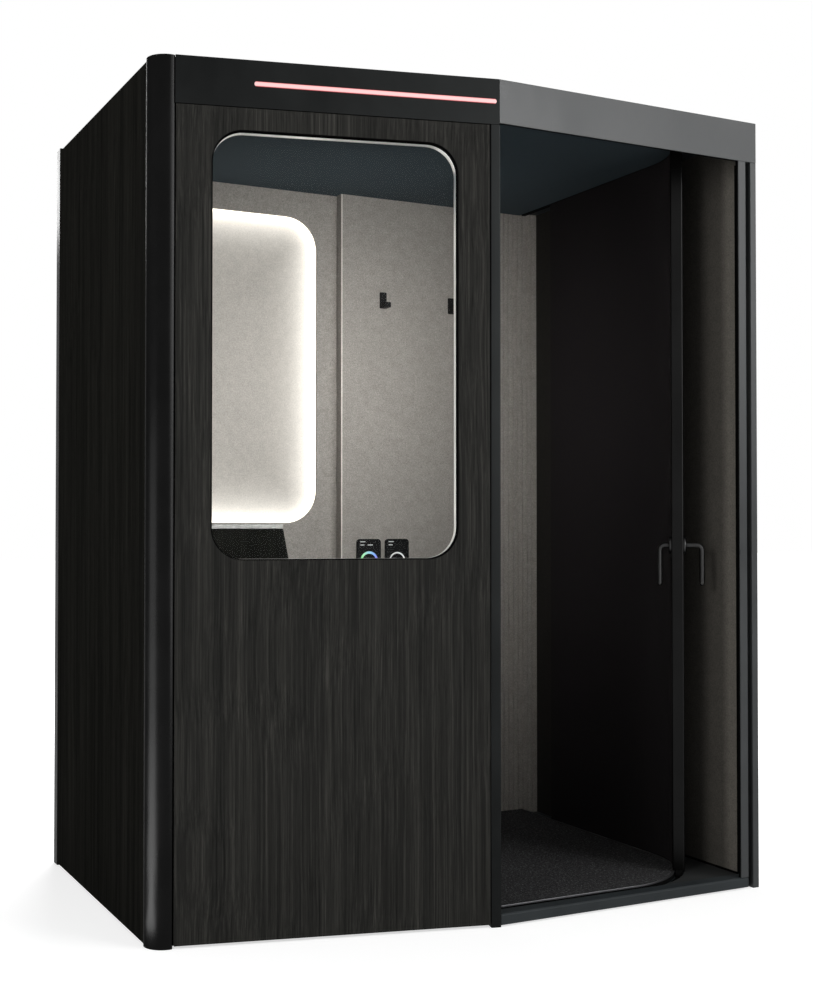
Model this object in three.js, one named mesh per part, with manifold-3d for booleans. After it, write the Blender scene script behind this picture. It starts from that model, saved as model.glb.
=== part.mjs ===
import * as THREE from "three";
import { mergeVertices } from "three/addons/utils/BufferGeometryUtils.js";
import Module from "manifold-3d";

// Acoustic office pod: a one-person booth with a slanted glazed front and a flexible sliding door.
// Millimetres, +Z up, standing on z = 0. In plan the doorway lies in y = 0, the slanted front meets it
// at x = 0, and the back wall is at y = DEPTH. The last lines centre the pod on the origin.

const wasm = await Module();
wasm.setup();

// Overall size
const HALF_WIDTH = 885;
const DEPTH = 1250;
const HEIGHT = 2250;
const FRONT_SETBACK = 224;

// Running clearance between pieces that meet on slanted or cut faces
const GAP = 0.3;

// Floor and roof layers
const FLOOR_GAP = 8;
const TRAY = 6;
const CARPET = 16;
const CARPET_TRIM = 3;
const TRIM_RISE = 1.5;
const SILL_HEIGHT = 26;
const SILL_CLEAR = 5;
const DOOR_HEADER = 118;
const FRONT_HEADER = 122.5;
const HEADER_DEPTH = 45;
const HEADER_FASCIA = 12;
const PANEL_DROP = 10;
const ROOF = 8;
const ROOF_INSET = 8;
const CEILING_PLATE = 4;
const CEILING_FELT = 8;

// Walls
const SKIN = 12;
const LEFT_LINING = 33;
const RIGHT_LINING = 21;
const FRONT_LINING = 48;
const BACK_LINING = 51;
const PROUD_PANEL = 40.5;

// Posts and door frame
const BACK_POST = 45;
const COLUMN_FACE = 59;
const COLUMN_RADIUS = 55;
const COLUMN_RETURN = 46;
const MID_POST_FACE = 24.6;
const MID_POST_RETURN = 3;
const MID_POST_DEPTH = 91;
const RIGHT_POST = 22;
const RIGHT_POST_DEPTH = 50;
const SHADOW_GAP = 18;
const SHADOW_DEPTH = 30;
const JAMB = 27;
const JAMB_DEPTH = 11;
const SILL_DEPTH = 46;

// Door track: a front run, a quarter bend and a run along the right wall
const TRACK_FRONT = 67;
const TRACK_SIDE = 90;
const TRACK_RADIUS = 295;
const FLOOR_TRACK_WIDTH = 10;
const FLOOR_TRACK_HEIGHT = 3;
const TOP_TRACK_WIDTH = 16;
const TOP_TRACK_HEIGHT = 8;
const CARPET_TO_TRACK = 15;
const CORNER_TO_TRACK = 17;
const CORNER_PLATE = 15;
const CORNER_START = 80;

// Door leaf, stile and levers, drawn open with the stile part way round the bend
const STILE_ANGLE = 38.45;
const STILE_LENGTH = 60;
const STILE_THICK = 36;
const STILE_CLEAR = 2;
const LOW_SEAL_THICK = 16;
const TOP_SEAL_THICK = 34;
const SEAL_INSET = 1;
const LEAF_THICK = 22;
const LEAF_END = 950;
const LEAF_TOP_DROP = 100;
const CARRIER_ANGLE = 24;
const CARRIER_LENGTH = 60;
const CARRIER_THICK = 16;
const LEVER_HEIGHT = 1001;
const LEVER_RADIUS = 8;
const LEVER_REACH_IN = 35;
const LEVER_REACH_OUT = 54;
const LEVER_BEND = 16;
const GRIP_LENGTH = 122;
const ROSE_RADIUS = 26;
const ROSE_THICK = 8;
const ROSE_CHAMFER = 3;
const SPINDLE_RADIUS = 4;

// Window in the slanted front, measured along the front from the doorway corner
const WINDOW_START = 113;
const WINDOW_INSET = 92.2;
const WINDOW_DROP = 58.5;
const WINDOW_HEIGHT = 1098;
const WINDOW_RADIUS = 83;
const WINDOW_LINER = 2.6;
const GASKET_DEPTH = 19;
const TRIM_DEPTH = 20.2;
const GLASS = 12;

// Status light in the front header
const STATUS_START = 7.4;
const STATUS_INSET = 201;
const STATUS_DROP = 60.3;
const STATUS_HEIGHT = 13.5;
const STATUS_DEPTH = 5;

// Back wall: lit recess, proud panel, ribs, hooks and touch panels
const RECESS_INSET = 105;
const RECESS_TO_PROUD = 74;
const RECESS_DROP = 95;
const RECESS_HEIGHT = 1041;
const RECESS_RADIUS = 110;
const RECESS_DEPTH = 27;
const LED_SET_BACK = 9;
const LED_WIDTH = 12;
const LED_THICK = 6;
const PROUD_START = 62;
const RIB_WIDTH = 162;
const RIB_PITCH = 20;
const RIB_GROOVE = 6;
const HOOK_X = [220, 490];
const HOOK_DROP = 407;
const HOOK_WIDTH = 25;
const HOOK_HEIGHT = 56;
const HOOK_PLATE = 6;
const HOOK_RADIUS = 2;
const HOOK_FOOT = 34;
const HOOK_FOOT_HEIGHT = 18;
const TOUCH_X = [164, 272.5];
const TOUCH_TOP = 1014.5;
const TOUCH_SIZE = 91.5;
const TOUCH_RADIUS = 12;
const TOUCH_THICK = 8;

// Power box in a pocket at the back of the wall
const POWER_INSET = 340;
const POWER_Z = 450;
const POWER_WIDTH = 190;
const POWER_HEIGHT = 290;
const POWER_DEPTH = 30;
const POWER_CLEAR = 4;

// Worktop and its end support
const WORKTOP_TOP = 1063;
const WORKTOP_THICK = 12;
const WORKTOP_WIDTH = 425;
const WORKTOP_FRONT = 495;
const WORKTOP_RADIUS = 4;
const SUPPORT_THICK = 25;
const SUPPORT_INSET = 2;
const SUPPORT_FLARE = 11;

// Extractor fans above the ceiling
const FAN_INSET = [280, 590];
const FAN_Y = 390;
const FAN_SIZE = 120;
const FAN_HEIGHT = 25;
const FAN_BORE = 56;
const FAN_HUB = 22;
const FAN_STRUT = 8;
const FAN_STRUT_HEIGHT = 4;
const FAN_BLADES = 5;
const FAN_BLADE = 2.5;
const FAN_BLADE_CHORD = 20;
const FAN_BLADE_TILT = 35;
const FAN_TIP_CLEAR = 4;
const FAN_ROOF_CLEAR = 5;

// Levelling feet
const FOOT_RADIUS = 24;
const FOOT_INSET = 90;

// Levels and faces that follow from the sizes above
const TRAY_TOP = FLOOR_GAP + TRAY;
const CARPET_TOP = TRAY_TOP + CARPET;
const SILL_TOP = FLOOR_GAP + SILL_HEIGHT;
const OPENING_TOP = HEIGHT - DOOR_HEADER;
const FRONT_TOP = HEIGHT - FRONT_HEADER;
const PANEL_TOP = HEIGHT - PANEL_DROP;
const FAN_BASE = PANEL_TOP - FAN_ROOF_CLEAR - FAN_HEIGHT;
const CEILING_Z = FAN_BASE - CEILING_PLATE;
const LINING_X = HALF_WIDTH - SKIN;
const FELT_X = LINING_X - LEFT_LINING;
const RIGHT_FELT_X = LINING_X - RIGHT_LINING;
const BACK_SKIN_Y = DEPTH - SKIN;
const BACK_FELT_Y = BACK_SKIN_Y - BACK_LINING;
const PROUD_Y = BACK_FELT_Y - PROUD_PANEL;
const POST_X = HALF_WIDTH - BACK_POST;
const POST_Y = DEPTH - BACK_POST;
const COLUMN_Y = FRONT_SETBACK + COLUMN_RETURN;
const FRONT_LENGTH = Math.hypot(HALF_WIDTH, FRONT_SETBACK);
const FRONT_ANGLE = Math.atan2(FRONT_SETBACK, HALF_WIDTH);
const FRONT_END = FRONT_LENGTH - COLUMN_FACE;
const FRONT_WALL = SKIN + FRONT_LINING;
const FRAME_X = HALF_WIDTH - RIGHT_POST - SHADOW_GAP;
const TRACK_X = HALF_WIDTH - TRACK_SIDE - TRACK_RADIUS;
const TRACK_Y = TRACK_FRONT + TRACK_RADIUS;
const TOP_TRACK_Z = CEILING_Z - TOP_TRACK_HEIGHT;
const WINDOW_END = FRONT_END - WINDOW_INSET;
const WINDOW_TOP = FRONT_TOP - WINDOW_DROP;
const WINDOW_BOTTOM = WINDOW_TOP - WINDOW_HEIGHT;
const STATUS_END = FRONT_END - STATUS_INSET;
const STATUS_Z = HEIGHT - STATUS_DROP;
const RECESS_LEFT = -FELT_X + RECESS_INSET;
const RECESS_RIGHT = PROUD_START - RECESS_TO_PROUD;
const RECESS_TOP = CEILING_Z - RECESS_DROP;
const RECESS_BOTTOM = RECESS_TOP - RECESS_HEIGHT;
const RIB_START = RIGHT_FELT_X - RIB_WIDTH;
const HOOK_Z = HEIGHT - HOOK_DROP;
const POWER_X = POST_X - POWER_INSET;
const WORKTOP_RIGHT = -FELT_X + WORKTOP_WIDTH;
const FAN_X = FAN_INSET.map((inset) => -FELT_X + inset);

// Plan point on the slanted front: distance along it from the doorway corner, and depth behind it
function onFront(along, depth) {
  const x = -along * Math.cos(FRONT_ANGLE) + depth * Math.sin(FRONT_ANGLE);
  const y = along * Math.sin(FRONT_ANGLE) + depth * Math.cos(FRONT_ANGLE);
  return [x, y];
}

// Inner corner of two bands of one depth, laid along the slanted front and along the doorway
function cornerInset(depth) {
  return [depth * Math.tan(FRONT_ANGLE / 2), depth];
}

function outline(points) {
  const shape = new THREE.Shape();
  shape.setFromPoints(points.map(([x, y]) => new THREE.Vector2(x, y)));
  return shape;
}

function circle(x, y, radius) {
  const path = new THREE.Path();
  path.absarc(x, y, radius, 0, 2 * Math.PI, true);
  return path;
}

// Rounded rectangle, grown by a margin that may be negative
function roundRect(x0, x1, y0, y1, radius, margin = 0) {
  const left = x0 - margin;
  const right = x1 + margin;
  const low = y0 - margin;
  const high = y1 + margin;
  const r = Math.max(radius + margin, 0.5);
  const shape = new THREE.Shape();
  shape.moveTo(right, low + r);
  shape.absarc(right - r, high - r, r, 0, Math.PI / 2, false);
  shape.absarc(left + r, high - r, r, Math.PI / 2, Math.PI, false);
  shape.absarc(left + r, low + r, r, Math.PI, 1.5 * Math.PI, false);
  shape.absarc(right - r, low + r, r, 1.5 * Math.PI, 2 * Math.PI, false);
  return shape;
}

// Plan shape raised from one level to another
function prism(shape, z0, z1, curveSegments = 10) {
  const geometry = new THREE.ExtrudeGeometry(shape, {
    depth: z1 - z0,
    bevelEnabled: false,
    curveSegments,
  });
  geometry.translate(0, 0, z0);
  return geometry;
}

// Shape drawn in x and z, given thickness from y0 back to y1
function upright(shape, y0, y1, curveSegments = 10) {
  const geometry = prism(shape, 0, y1 - y0, curveSegments);
  geometry.rotateX(Math.PI / 2);
  geometry.translate(0, y1, 0);
  return geometry;
}

function box(x0, x1, y0, y1, z0, z1) {
  const geometry = new THREE.BoxGeometry(x1 - x0, y1 - y0, z1 - z0);
  geometry.translate((x0 + x1) / 2, (y0 + y1) / 2, (z0 + z1) / 2);
  return geometry;
}

// Round bar along y
function barY(x, z, radius, y0, y1, sides = 24) {
  const geometry = new THREE.CylinderGeometry(radius, radius, y1 - y0, sides);
  geometry.translate(x, (y0 + y1) / 2, z);
  return geometry;
}

// Round bar along z
function barZ(x, y, radius, z0, z1, sides = 24) {
  const geometry = new THREE.CylinderGeometry(radius, radius, z1 - z0, sides);
  geometry.rotateX(Math.PI / 2);
  geometry.translate(x, y, (z0 + z1) / 2);
  return geometry;
}

function solid(geometry) {
  const bare = geometry.index ? geometry.toNonIndexed() : geometry.clone();
  bare.deleteAttribute("normal");
  bare.deleteAttribute("uv");
  const merged = mergeVertices(bare, 1e-4);
  const vertProperties = new Float32Array(merged.attributes.position.array);
  const triVerts = new Uint32Array(merged.index.array);
  return new wasm.Manifold(new wasm.Mesh({ numProp: 3, vertProperties, triVerts }));
}

function fromSolid(body) {
  const mesh = body.getMesh();
  const geometry = new THREE.BufferGeometry();
  geometry.setAttribute("position", new THREE.BufferAttribute(new Float32Array(mesh.vertProperties), 3));
  geometry.setIndex(new THREE.BufferAttribute(new Uint32Array(mesh.triVerts), 1));
  geometry.computeVertexNormals();
  return geometry;
}

function join(...parts) {
  return fromSolid(parts.map(solid).reduce((whole, part) => whole.add(part)));
}

function cut(part, ...tools) {
  return fromSolid(tools.map(solid).reduce((whole, tool) => whole.subtract(tool), solid(part)));
}

// Band that follows the door track at two distances from its line, inner and outer
function trackBand(inner, outer, xStart, yEnd) {
  const shape = new THREE.Shape();
  const rIn = TRACK_RADIUS + inner;
  const rOut = TRACK_RADIUS + outer;
  shape.moveTo(xStart, TRACK_Y - rOut);
  shape.absarc(TRACK_X, TRACK_Y, rOut, -Math.PI / 2, 0, false);
  shape.lineTo(TRACK_X + rOut, yEnd);
  shape.lineTo(TRACK_X + rIn, yEnd);
  shape.absarc(TRACK_X, TRACK_Y, rIn, 0, -Math.PI / 2, true);
  shape.lineTo(xStart, TRACK_Y - rIn);
  return shape;
}

// Floor area inside the door track and the linings, shared by the carpet and the ceiling
function roomOutline() {
  const radius = TRACK_RADIUS - CARPET_TO_TRACK;
  const start = MID_POST_RETURN + CARPET_TRIM;
  const shape = new THREE.Shape();
  shape.moveTo(start, TRACK_Y - radius);
  shape.absarc(TRACK_X, TRACK_Y, radius, -Math.PI / 2, 0, false);
  shape.lineTo(TRACK_X + radius, PROUD_Y - GAP);
  shape.lineTo(PROUD_START - GAP, PROUD_Y - GAP);
  shape.lineTo(PROUD_START - GAP, BACK_FELT_Y - GAP);
  shape.lineTo(-FELT_X + GAP, BACK_FELT_Y - GAP);
  shape.lineTo(-FELT_X + GAP, COLUMN_Y + GAP);
  shape.lineTo(...onFront(FRONT_END - GAP, FRONT_WALL + GAP));
  shape.lineTo(...onFront(MID_POST_FACE + GAP, FRONT_WALL + GAP));
  const behindPost = onFront(MID_POST_FACE + GAP, MID_POST_DEPTH + CARPET_TRIM);
  shape.lineTo(...behindPost);
  shape.lineTo(start, behindPost[1]);
  return shape;
}

// Area inside the headers, stepped round the back posts and the front column
function lidOutline(side, back) {
  const nearCorner = cornerInset(HEADER_DEPTH + GAP);
  return outline([
    [nearCorner[0] + GAP, nearCorner[1]],
    [side, HEADER_DEPTH + GAP],
    [side, POST_Y - GAP],
    [POST_X - GAP, POST_Y - GAP],
    [POST_X - GAP, back],
    [-POST_X + GAP, back],
    [-POST_X + GAP, POST_Y - GAP],
    [-side, POST_Y - GAP],
    [-side, COLUMN_Y + GAP],
    [-FELT_X + GAP, COLUMN_Y + GAP],
    onFront(FRONT_END - 2 * GAP, FRONT_WALL + GAP),
    onFront(FRONT_END - 2 * GAP, HEADER_DEPTH + GAP),
  ]);
}

const pod = new THREE.Group();
pod.position.set(0, -DEPTH / 2, 0);

// Group whose x runs left along the slanted front and whose -y runs into the room
const front = new THREE.Group();
front.rotation.z = Math.PI - FRONT_ANGLE;
pod.add(front);

// Group at the door's stile: x towards the trailing end, +y into the room
const stileTurn = THREE.MathUtils.degToRad(STILE_ANGLE);
const stile = new THREE.Group();
stile.position.set(
  TRACK_X + TRACK_RADIUS * Math.cos(stileTurn),
  TRACK_Y - TRACK_RADIUS * Math.sin(stileTurn),
  0,
);
stile.rotation.z = Math.PI / 2 - stileTurn;
pod.add(stile);

// Group at the leaf's carrier, turned in the same way
const carrierTurn = THREE.MathUtils.degToRad(CARRIER_ANGLE);
const carrier = new THREE.Group();
carrier.position.set(
  TRACK_X + TRACK_RADIUS * Math.cos(carrierTurn),
  TRACK_Y - TRACK_RADIUS * Math.sin(carrierTurn),
  0,
);
carrier.rotation.z = Math.PI / 2 - carrierTurn;
pod.add(carrier);

function piece(name, geometry, colour, roughness, metalness = 0, parent = pod) {
  const material = new THREE.MeshStandardMaterial({ color: colour, roughness, metalness });
  const mesh = new THREE.Mesh(geometry, material);
  mesh.name = name;
  parent.add(mesh);
  return mesh;
}

const SHELL = 0x2b2a29;
const WOOD = 0x2c2928;
const METAL = 0x4a4d4f;
const FELT = 0x8f8c86;
const DARK_FELT = 0x4a4845;
const BLACK = 0x141415;

// Base tray, feet and floor
const trayFront = SILL_DEPTH;
const postBack = onFront(MID_POST_FACE + GAP, MID_POST_DEPTH + GAP);
const tray = outline([
  [MID_POST_RETURN + GAP, trayFront],
  [FRAME_X, trayFront],
  [FRAME_X, RIGHT_POST_DEPTH],
  [RIGHT_FELT_X, RIGHT_POST_DEPTH],
  [RIGHT_FELT_X, BACK_FELT_Y],
  [-FELT_X, BACK_FELT_Y],
  [-FELT_X, COLUMN_Y + GAP],
  onFront(FRONT_END - GAP, FRONT_WALL + GAP),
  onFront(MID_POST_FACE + GAP, FRONT_WALL + GAP),
  postBack,
  [MID_POST_RETURN + GAP, postBack[1]],
]);
piece("base_tray", prism(tray, FLOOR_GAP, TRAY_TOP), METAL, 0.5, 0.6);

const footX = FELT_X - FOOT_INSET;
const feet = [
  [-footX, COLUMN_Y + FOOT_INSET],
  [-footX, BACK_FELT_Y - FOOT_INSET],
  [footX, BACK_FELT_Y - FOOT_INSET],
  [footX, SILL_DEPTH + FOOT_INSET],
];
feet.forEach(([x, y], i) => {
  piece(`foot_${i + 1}`, barZ(x, y, FOOT_RADIUS, 0, FLOOR_GAP), BLACK, 0.8);
});

piece("carpet", prism(roomOutline(), TRAY_TOP, CARPET_TOP, 16), 0x3a3a3c, 0.95);
const trimInner = -CARPET_TO_TRACK + GAP;
const trackStart = MID_POST_RETURN + CARPET_TRIM;
const trackEnd = PROUD_Y - GAP;
const trimShape = trackBand(trimInner, trimInner + CARPET_TRIM, trackStart, trackEnd);
piece("carpet_trim", prism(trimShape, TRAY_TOP, CARPET_TOP + TRIM_RISE, 16), 0xb9bbbd, 0.3, 0.9);
const floorTrack = trackBand(-FLOOR_TRACK_WIDTH / 2, FLOOR_TRACK_WIDTH / 2, trackStart, trackEnd);
piece("floor_track", prism(floorTrack, TRAY_TOP, TRAY_TOP + FLOOR_TRACK_HEIGHT, 16), 0x55585a, 0.4, 0.9);

const cornerRadius = TRACK_RADIUS + CORNER_TO_TRACK;
const cornerTurn = THREE.MathUtils.degToRad(CORNER_START);
const corner = new THREE.Shape();
corner.moveTo(FRAME_X - GAP, SILL_DEPTH + GAP);
corner.lineTo(FRAME_X - GAP, RIGHT_POST_DEPTH + GAP);
corner.lineTo(RIGHT_FELT_X - GAP, RIGHT_POST_DEPTH + GAP);
corner.lineTo(RIGHT_FELT_X - GAP, TRACK_Y);
corner.lineTo(TRACK_X + cornerRadius, TRACK_Y);
corner.absarc(TRACK_X, TRACK_Y, cornerRadius, 0, -cornerTurn, true);
corner.lineTo(TRACK_X + cornerRadius * Math.cos(cornerTurn), SILL_DEPTH + GAP);
piece("corner_floor", prism(corner, TRAY_TOP, TRAY_TOP + CORNER_PLATE, 16), 0x6a6c6e, 0.45, 0.2);

// Posts and the rounded front column
const tangent = COLUMN_RADIUS * Math.tan((Math.PI / 2 - FRONT_ANGLE) / 2);
const columnStart = onFront(FRONT_LENGTH - tangent, 0);
const column = new THREE.Shape();
column.moveTo(...onFront(FRONT_END, 0));
column.lineTo(...columnStart);
column.absarc(
  -HALF_WIDTH + COLUMN_RADIUS,
  FRONT_SETBACK + tangent,
  COLUMN_RADIUS,
  -Math.PI / 2 - FRONT_ANGLE,
  -Math.PI,
  true,
);
column.lineTo(-HALF_WIDTH, COLUMN_Y);
column.lineTo(-FELT_X, COLUMN_Y);
column.lineTo(...onFront(FRONT_END, FRONT_WALL));
piece("front_column", prism(column, 0, HEIGHT, 12), 0x1c1c1c, 0.35, 0.2);

const midPost = outline([
  onFront(MID_POST_FACE, 0),
  [0, 0],
  [MID_POST_RETURN, 0],
  [MID_POST_RETURN, onFront(MID_POST_FACE, MID_POST_DEPTH)[1]],
  onFront(MID_POST_FACE, MID_POST_DEPTH),
]);
const midPostTop = Math.min(OPENING_TOP, FRONT_TOP);
piece("mid_post", prism(midPost, 0, midPostTop), 0x303336, 0.4, 0.3);

const rightPost = outline([
  [HALF_WIDTH - RIGHT_POST, 0],
  [HALF_WIDTH, 0],
  [HALF_WIDTH, RIGHT_POST_DEPTH],
  [FRAME_X, RIGHT_POST_DEPTH],
  [FRAME_X, SHADOW_DEPTH],
  [HALF_WIDTH - RIGHT_POST, SHADOW_DEPTH],
]);
piece("right_post", prism(rightPost, 0, OPENING_TOP), 0x5a5c5e, 0.4, 0.3);
piece("back_left_post", box(-HALF_WIDTH, -POST_X, POST_Y, DEPTH, 0, HEIGHT), SHELL, 0.4, 0.2);
piece("back_right_post", box(POST_X, HALF_WIDTH, POST_Y, DEPTH, 0, HEIGHT), SHELL, 0.4, 0.2);

// Headers over the doorway and over the slanted front, mitred at the corner
const headerCorner = cornerInset(HEADER_DEPTH);
const doorHeader = outline([[0, 0], [HALF_WIDTH, 0], [HALF_WIDTH, HEADER_DEPTH], headerCorner]);
const headerNotch = box(-HEADER_DEPTH, FRAME_X, HEADER_FASCIA, 2 * HEADER_DEPTH, 0, TOP_TRACK_Z);
piece("door_header", cut(prism(doorHeader, OPENING_TOP, HEIGHT), headerNotch), 0x5a5c5e, 0.4, 0.3);

const frontHeader = outline([
  [-GAP, GAP * Math.tan(FRONT_ANGLE)],
  [headerCorner[0] - GAP, headerCorner[1]],
  onFront(FRONT_END - GAP, HEADER_DEPTH),
  onFront(FRONT_END - GAP, 0),
]);
const statusLow = STATUS_Z - STATUS_HEIGHT / 2;
const statusHigh = STATUS_Z + STATUS_HEIGHT / 2;
const statusRound = STATUS_HEIGHT / 2;
function statusShape(margin) {
  return roundRect(STATUS_START, STATUS_END, statusLow, statusHigh, statusRound - GAP, margin);
}
const statusSlot = upright(statusShape(GAP), -STATUS_DEPTH - GAP, STATUS_DEPTH);
statusSlot.applyMatrix4(new THREE.Matrix4().makeRotationZ(front.rotation.z));
piece("front_header", cut(prism(frontHeader, FRONT_TOP, HEIGHT), statusSlot), SHELL, 0.4, 0.2);
piece("status_light", upright(statusShape(0), -STATUS_DEPTH, 0), 0xffb4b4, 0.3, 0, front);

// Outer panels
const frontPanel = outline([
  [MID_POST_FACE + GAP, FLOOR_GAP],
  [FRONT_END - GAP, FLOOR_GAP],
  [FRONT_END - GAP, FRONT_TOP],
  [MID_POST_FACE + GAP, FRONT_TOP],
]);
function windowShape(margin) {
  return roundRect(WINDOW_START, WINDOW_END, WINDOW_BOTTOM, WINDOW_TOP, WINDOW_RADIUS, margin);
}
frontPanel.holes.push(windowShape(0));
piece("front_panel", upright(frontPanel, -SKIN, 0), WOOD, 0.55, 0, front);
piece("left_panel", box(-HALF_WIDTH, -LINING_X, COLUMN_Y, POST_Y, FLOOR_GAP, PANEL_TOP), SHELL, 0.5);
piece("right_panel", box(LINING_X, HALF_WIDTH, RIGHT_POST_DEPTH, POST_Y, FLOOR_GAP, PANEL_TOP), SHELL, 0.5);
piece("back_panel", box(-POST_X, POST_X, BACK_SKIN_Y, DEPTH, FLOOR_GAP, PANEL_TOP), SHELL, 0.5);

// Felt-faced linings
const frontLining = outline([
  [MID_POST_FACE + GAP, FLOOR_GAP],
  [FRONT_END - GAP, FLOOR_GAP],
  [FRONT_END - GAP, FRONT_TOP - GAP],
  [MID_POST_FACE + GAP, FRONT_TOP - GAP],
]);
frontLining.holes.push(windowShape(0));
piece("front_lining", upright(frontLining, -FRONT_WALL, -SKIN - GAP), FELT, 0.95, 0, front);
piece("left_lining", box(-LINING_X, -FELT_X, COLUMN_Y, POST_Y, FLOOR_GAP, CEILING_Z), FELT, 0.95);
const rightFelt = box(RIGHT_FELT_X, LINING_X, RIGHT_POST_DEPTH, POST_Y, FLOOR_GAP, CEILING_Z);
piece("right_lining", rightFelt, DARK_FELT, 0.95);

function recessShape(margin) {
  return roundRect(RECESS_LEFT, RECESS_RIGHT, RECESS_BOTTOM, RECESS_TOP, RECESS_RADIUS, margin);
}
const backLining = outline([
  [-POST_X, FLOOR_GAP],
  [POST_X, FLOOR_GAP],
  [POST_X, CEILING_Z],
  [-POST_X, CEILING_Z],
]);
backLining.holes.push(recessShape(0));
const powerPocket = box(
  POWER_X - POWER_WIDTH / 2 - POWER_CLEAR,
  POWER_X + POWER_WIDTH / 2 + POWER_CLEAR,
  BACK_SKIN_Y - POWER_DEPTH - POWER_CLEAR,
  BACK_SKIN_Y + POWER_CLEAR,
  POWER_Z - POWER_HEIGHT / 2 - POWER_CLEAR,
  POWER_Z + POWER_HEIGHT / 2 + POWER_CLEAR,
);
piece("back_lining", cut(upright(backLining, BACK_FELT_Y, BACK_SKIN_Y - GAP), powerPocket), FELT, 0.95);
const power = box(
  POWER_X - POWER_WIDTH / 2,
  POWER_X + POWER_WIDTH / 2,
  BACK_SKIN_Y - POWER_DEPTH,
  BACK_SKIN_Y,
  POWER_Z - POWER_HEIGHT / 2,
  POWER_Z + POWER_HEIGHT / 2,
);
piece("power_box", power, BLACK, 0.6);

// Lit recess: a panel at its back and a strip of lights round its edge
piece("recess_panel", upright(recessShape(-GAP), BACK_FELT_Y + RECESS_DEPTH, BACK_SKIN_Y - GAP), FELT, 0.9);
const ledRing = recessShape(-GAP);
ledRing.holes.push(recessShape(-GAP - LED_THICK));
const ledY = BACK_FELT_Y + LED_SET_BACK;
piece("led_strip", upright(ledRing, ledY, ledY + LED_WIDTH, 6), 0xfff2dd, 0.4);

// Proud felt panel and the ribbed panel beside it
const proudFelt = box(PROUD_START, RIB_START, PROUD_Y, BACK_FELT_Y, TRAY_TOP, CEILING_Z);
piece("proud_panel", proudFelt, FELT, 0.95);
const ribEnd = RIGHT_FELT_X - GAP;
const ribCount = Math.floor((ribEnd - RIB_START - RIB_GROOVE) / RIB_PITCH);
const ribPoints = [[RIB_START + GAP, BACK_FELT_Y], [RIB_START + GAP, PROUD_Y]];
for (let i = 1; i <= ribCount; i += 1) {
  const x = RIB_START + i * RIB_PITCH;
  ribPoints.push([x - RIB_GROOVE / 2, PROUD_Y]);
  ribPoints.push([x - RIB_GROOVE / 2, PROUD_Y + RIB_GROOVE]);
  ribPoints.push([x + RIB_GROOVE / 2, PROUD_Y + RIB_GROOVE]);
  ribPoints.push([x + RIB_GROOVE / 2, PROUD_Y]);
}
ribPoints.push([ribEnd, PROUD_Y], [ribEnd, BACK_FELT_Y]);
piece("ribbed_panel", prism(outline(ribPoints), TRAY_TOP, CEILING_Z), 0x615f5a, 0.95);

// Coat hooks and touch panels on the proud panel
HOOK_X.forEach((x, i) => {
  const plateFront = PROUD_Y - GAP - HOOK_PLATE;
  const plateShape = roundRect(
    x - HOOK_WIDTH / 2,
    x + HOOK_WIDTH / 2,
    HOOK_Z - HOOK_HEIGHT / 2,
    HOOK_Z + HOOK_HEIGHT / 2,
    HOOK_RADIUS,
  );
  const plate = upright(plateShape, plateFront, PROUD_Y - GAP, 4);
  const footLow = HOOK_Z - HOOK_HEIGHT / 2;
  const footShape = roundRect(
    x - HOOK_WIDTH / 2,
    x + HOOK_WIDTH / 2,
    footLow,
    footLow + HOOK_FOOT_HEIGHT,
    HOOK_RADIUS,
  );
  const foot = upright(footShape, plateFront - HOOK_FOOT, plateFront + HOOK_PLATE / 2, 4);
  piece(`coat_hook_${i + 1}`, join(plate, foot), BLACK, 0.4);
});
TOUCH_X.forEach((x, i) => {
  const shape = roundRect(
    x - TOUCH_SIZE / 2,
    x + TOUCH_SIZE / 2,
    TOUCH_TOP - TOUCH_SIZE,
    TOUCH_TOP,
    TOUCH_RADIUS,
  );
  const touch = upright(shape, PROUD_Y - GAP - TOUCH_THICK, PROUD_Y - GAP, 6);
  piece(`touch_panel_${i + 1}`, touch, 0x0b0b0c, 0.15);
});

// Window: a gasket and a bright trim ring line the reveal one behind the other, in front of the glass
const linerShape = windowShape(-GAP);
linerShape.holes.push(windowShape(-GAP - WINDOW_LINER));
const trimFront = -GASKET_DEPTH - GAP;
const trimBack = trimFront - TRIM_DEPTH;
const glassFront = trimBack - GAP;
piece("window_gasket", upright(linerShape, -GASKET_DEPTH, 0, 7), BLACK, 0.8, 0, front);
piece("window_trim", upright(linerShape, trimBack, trimFront, 7), 0xc9cbcc, 0.25, 0.9, front);
piece("window_glass", upright(windowShape(-GAP), glassFront - GLASS, glassFront), 0xdfe8ea, 0.05, 0, front);

// Door sill and jamb
piece("door_sill", box(MID_POST_RETURN, FRAME_X, 0, SILL_DEPTH, SILL_CLEAR, SILL_TOP), 0x36393b, 0.4, 0.6);
piece("door_jamb", box(FRAME_X - JAMB, FRAME_X, 0, JAMB_DEPTH, SILL_TOP, OPENING_TOP), 0x5a5c5e, 0.4, 0.3);

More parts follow.
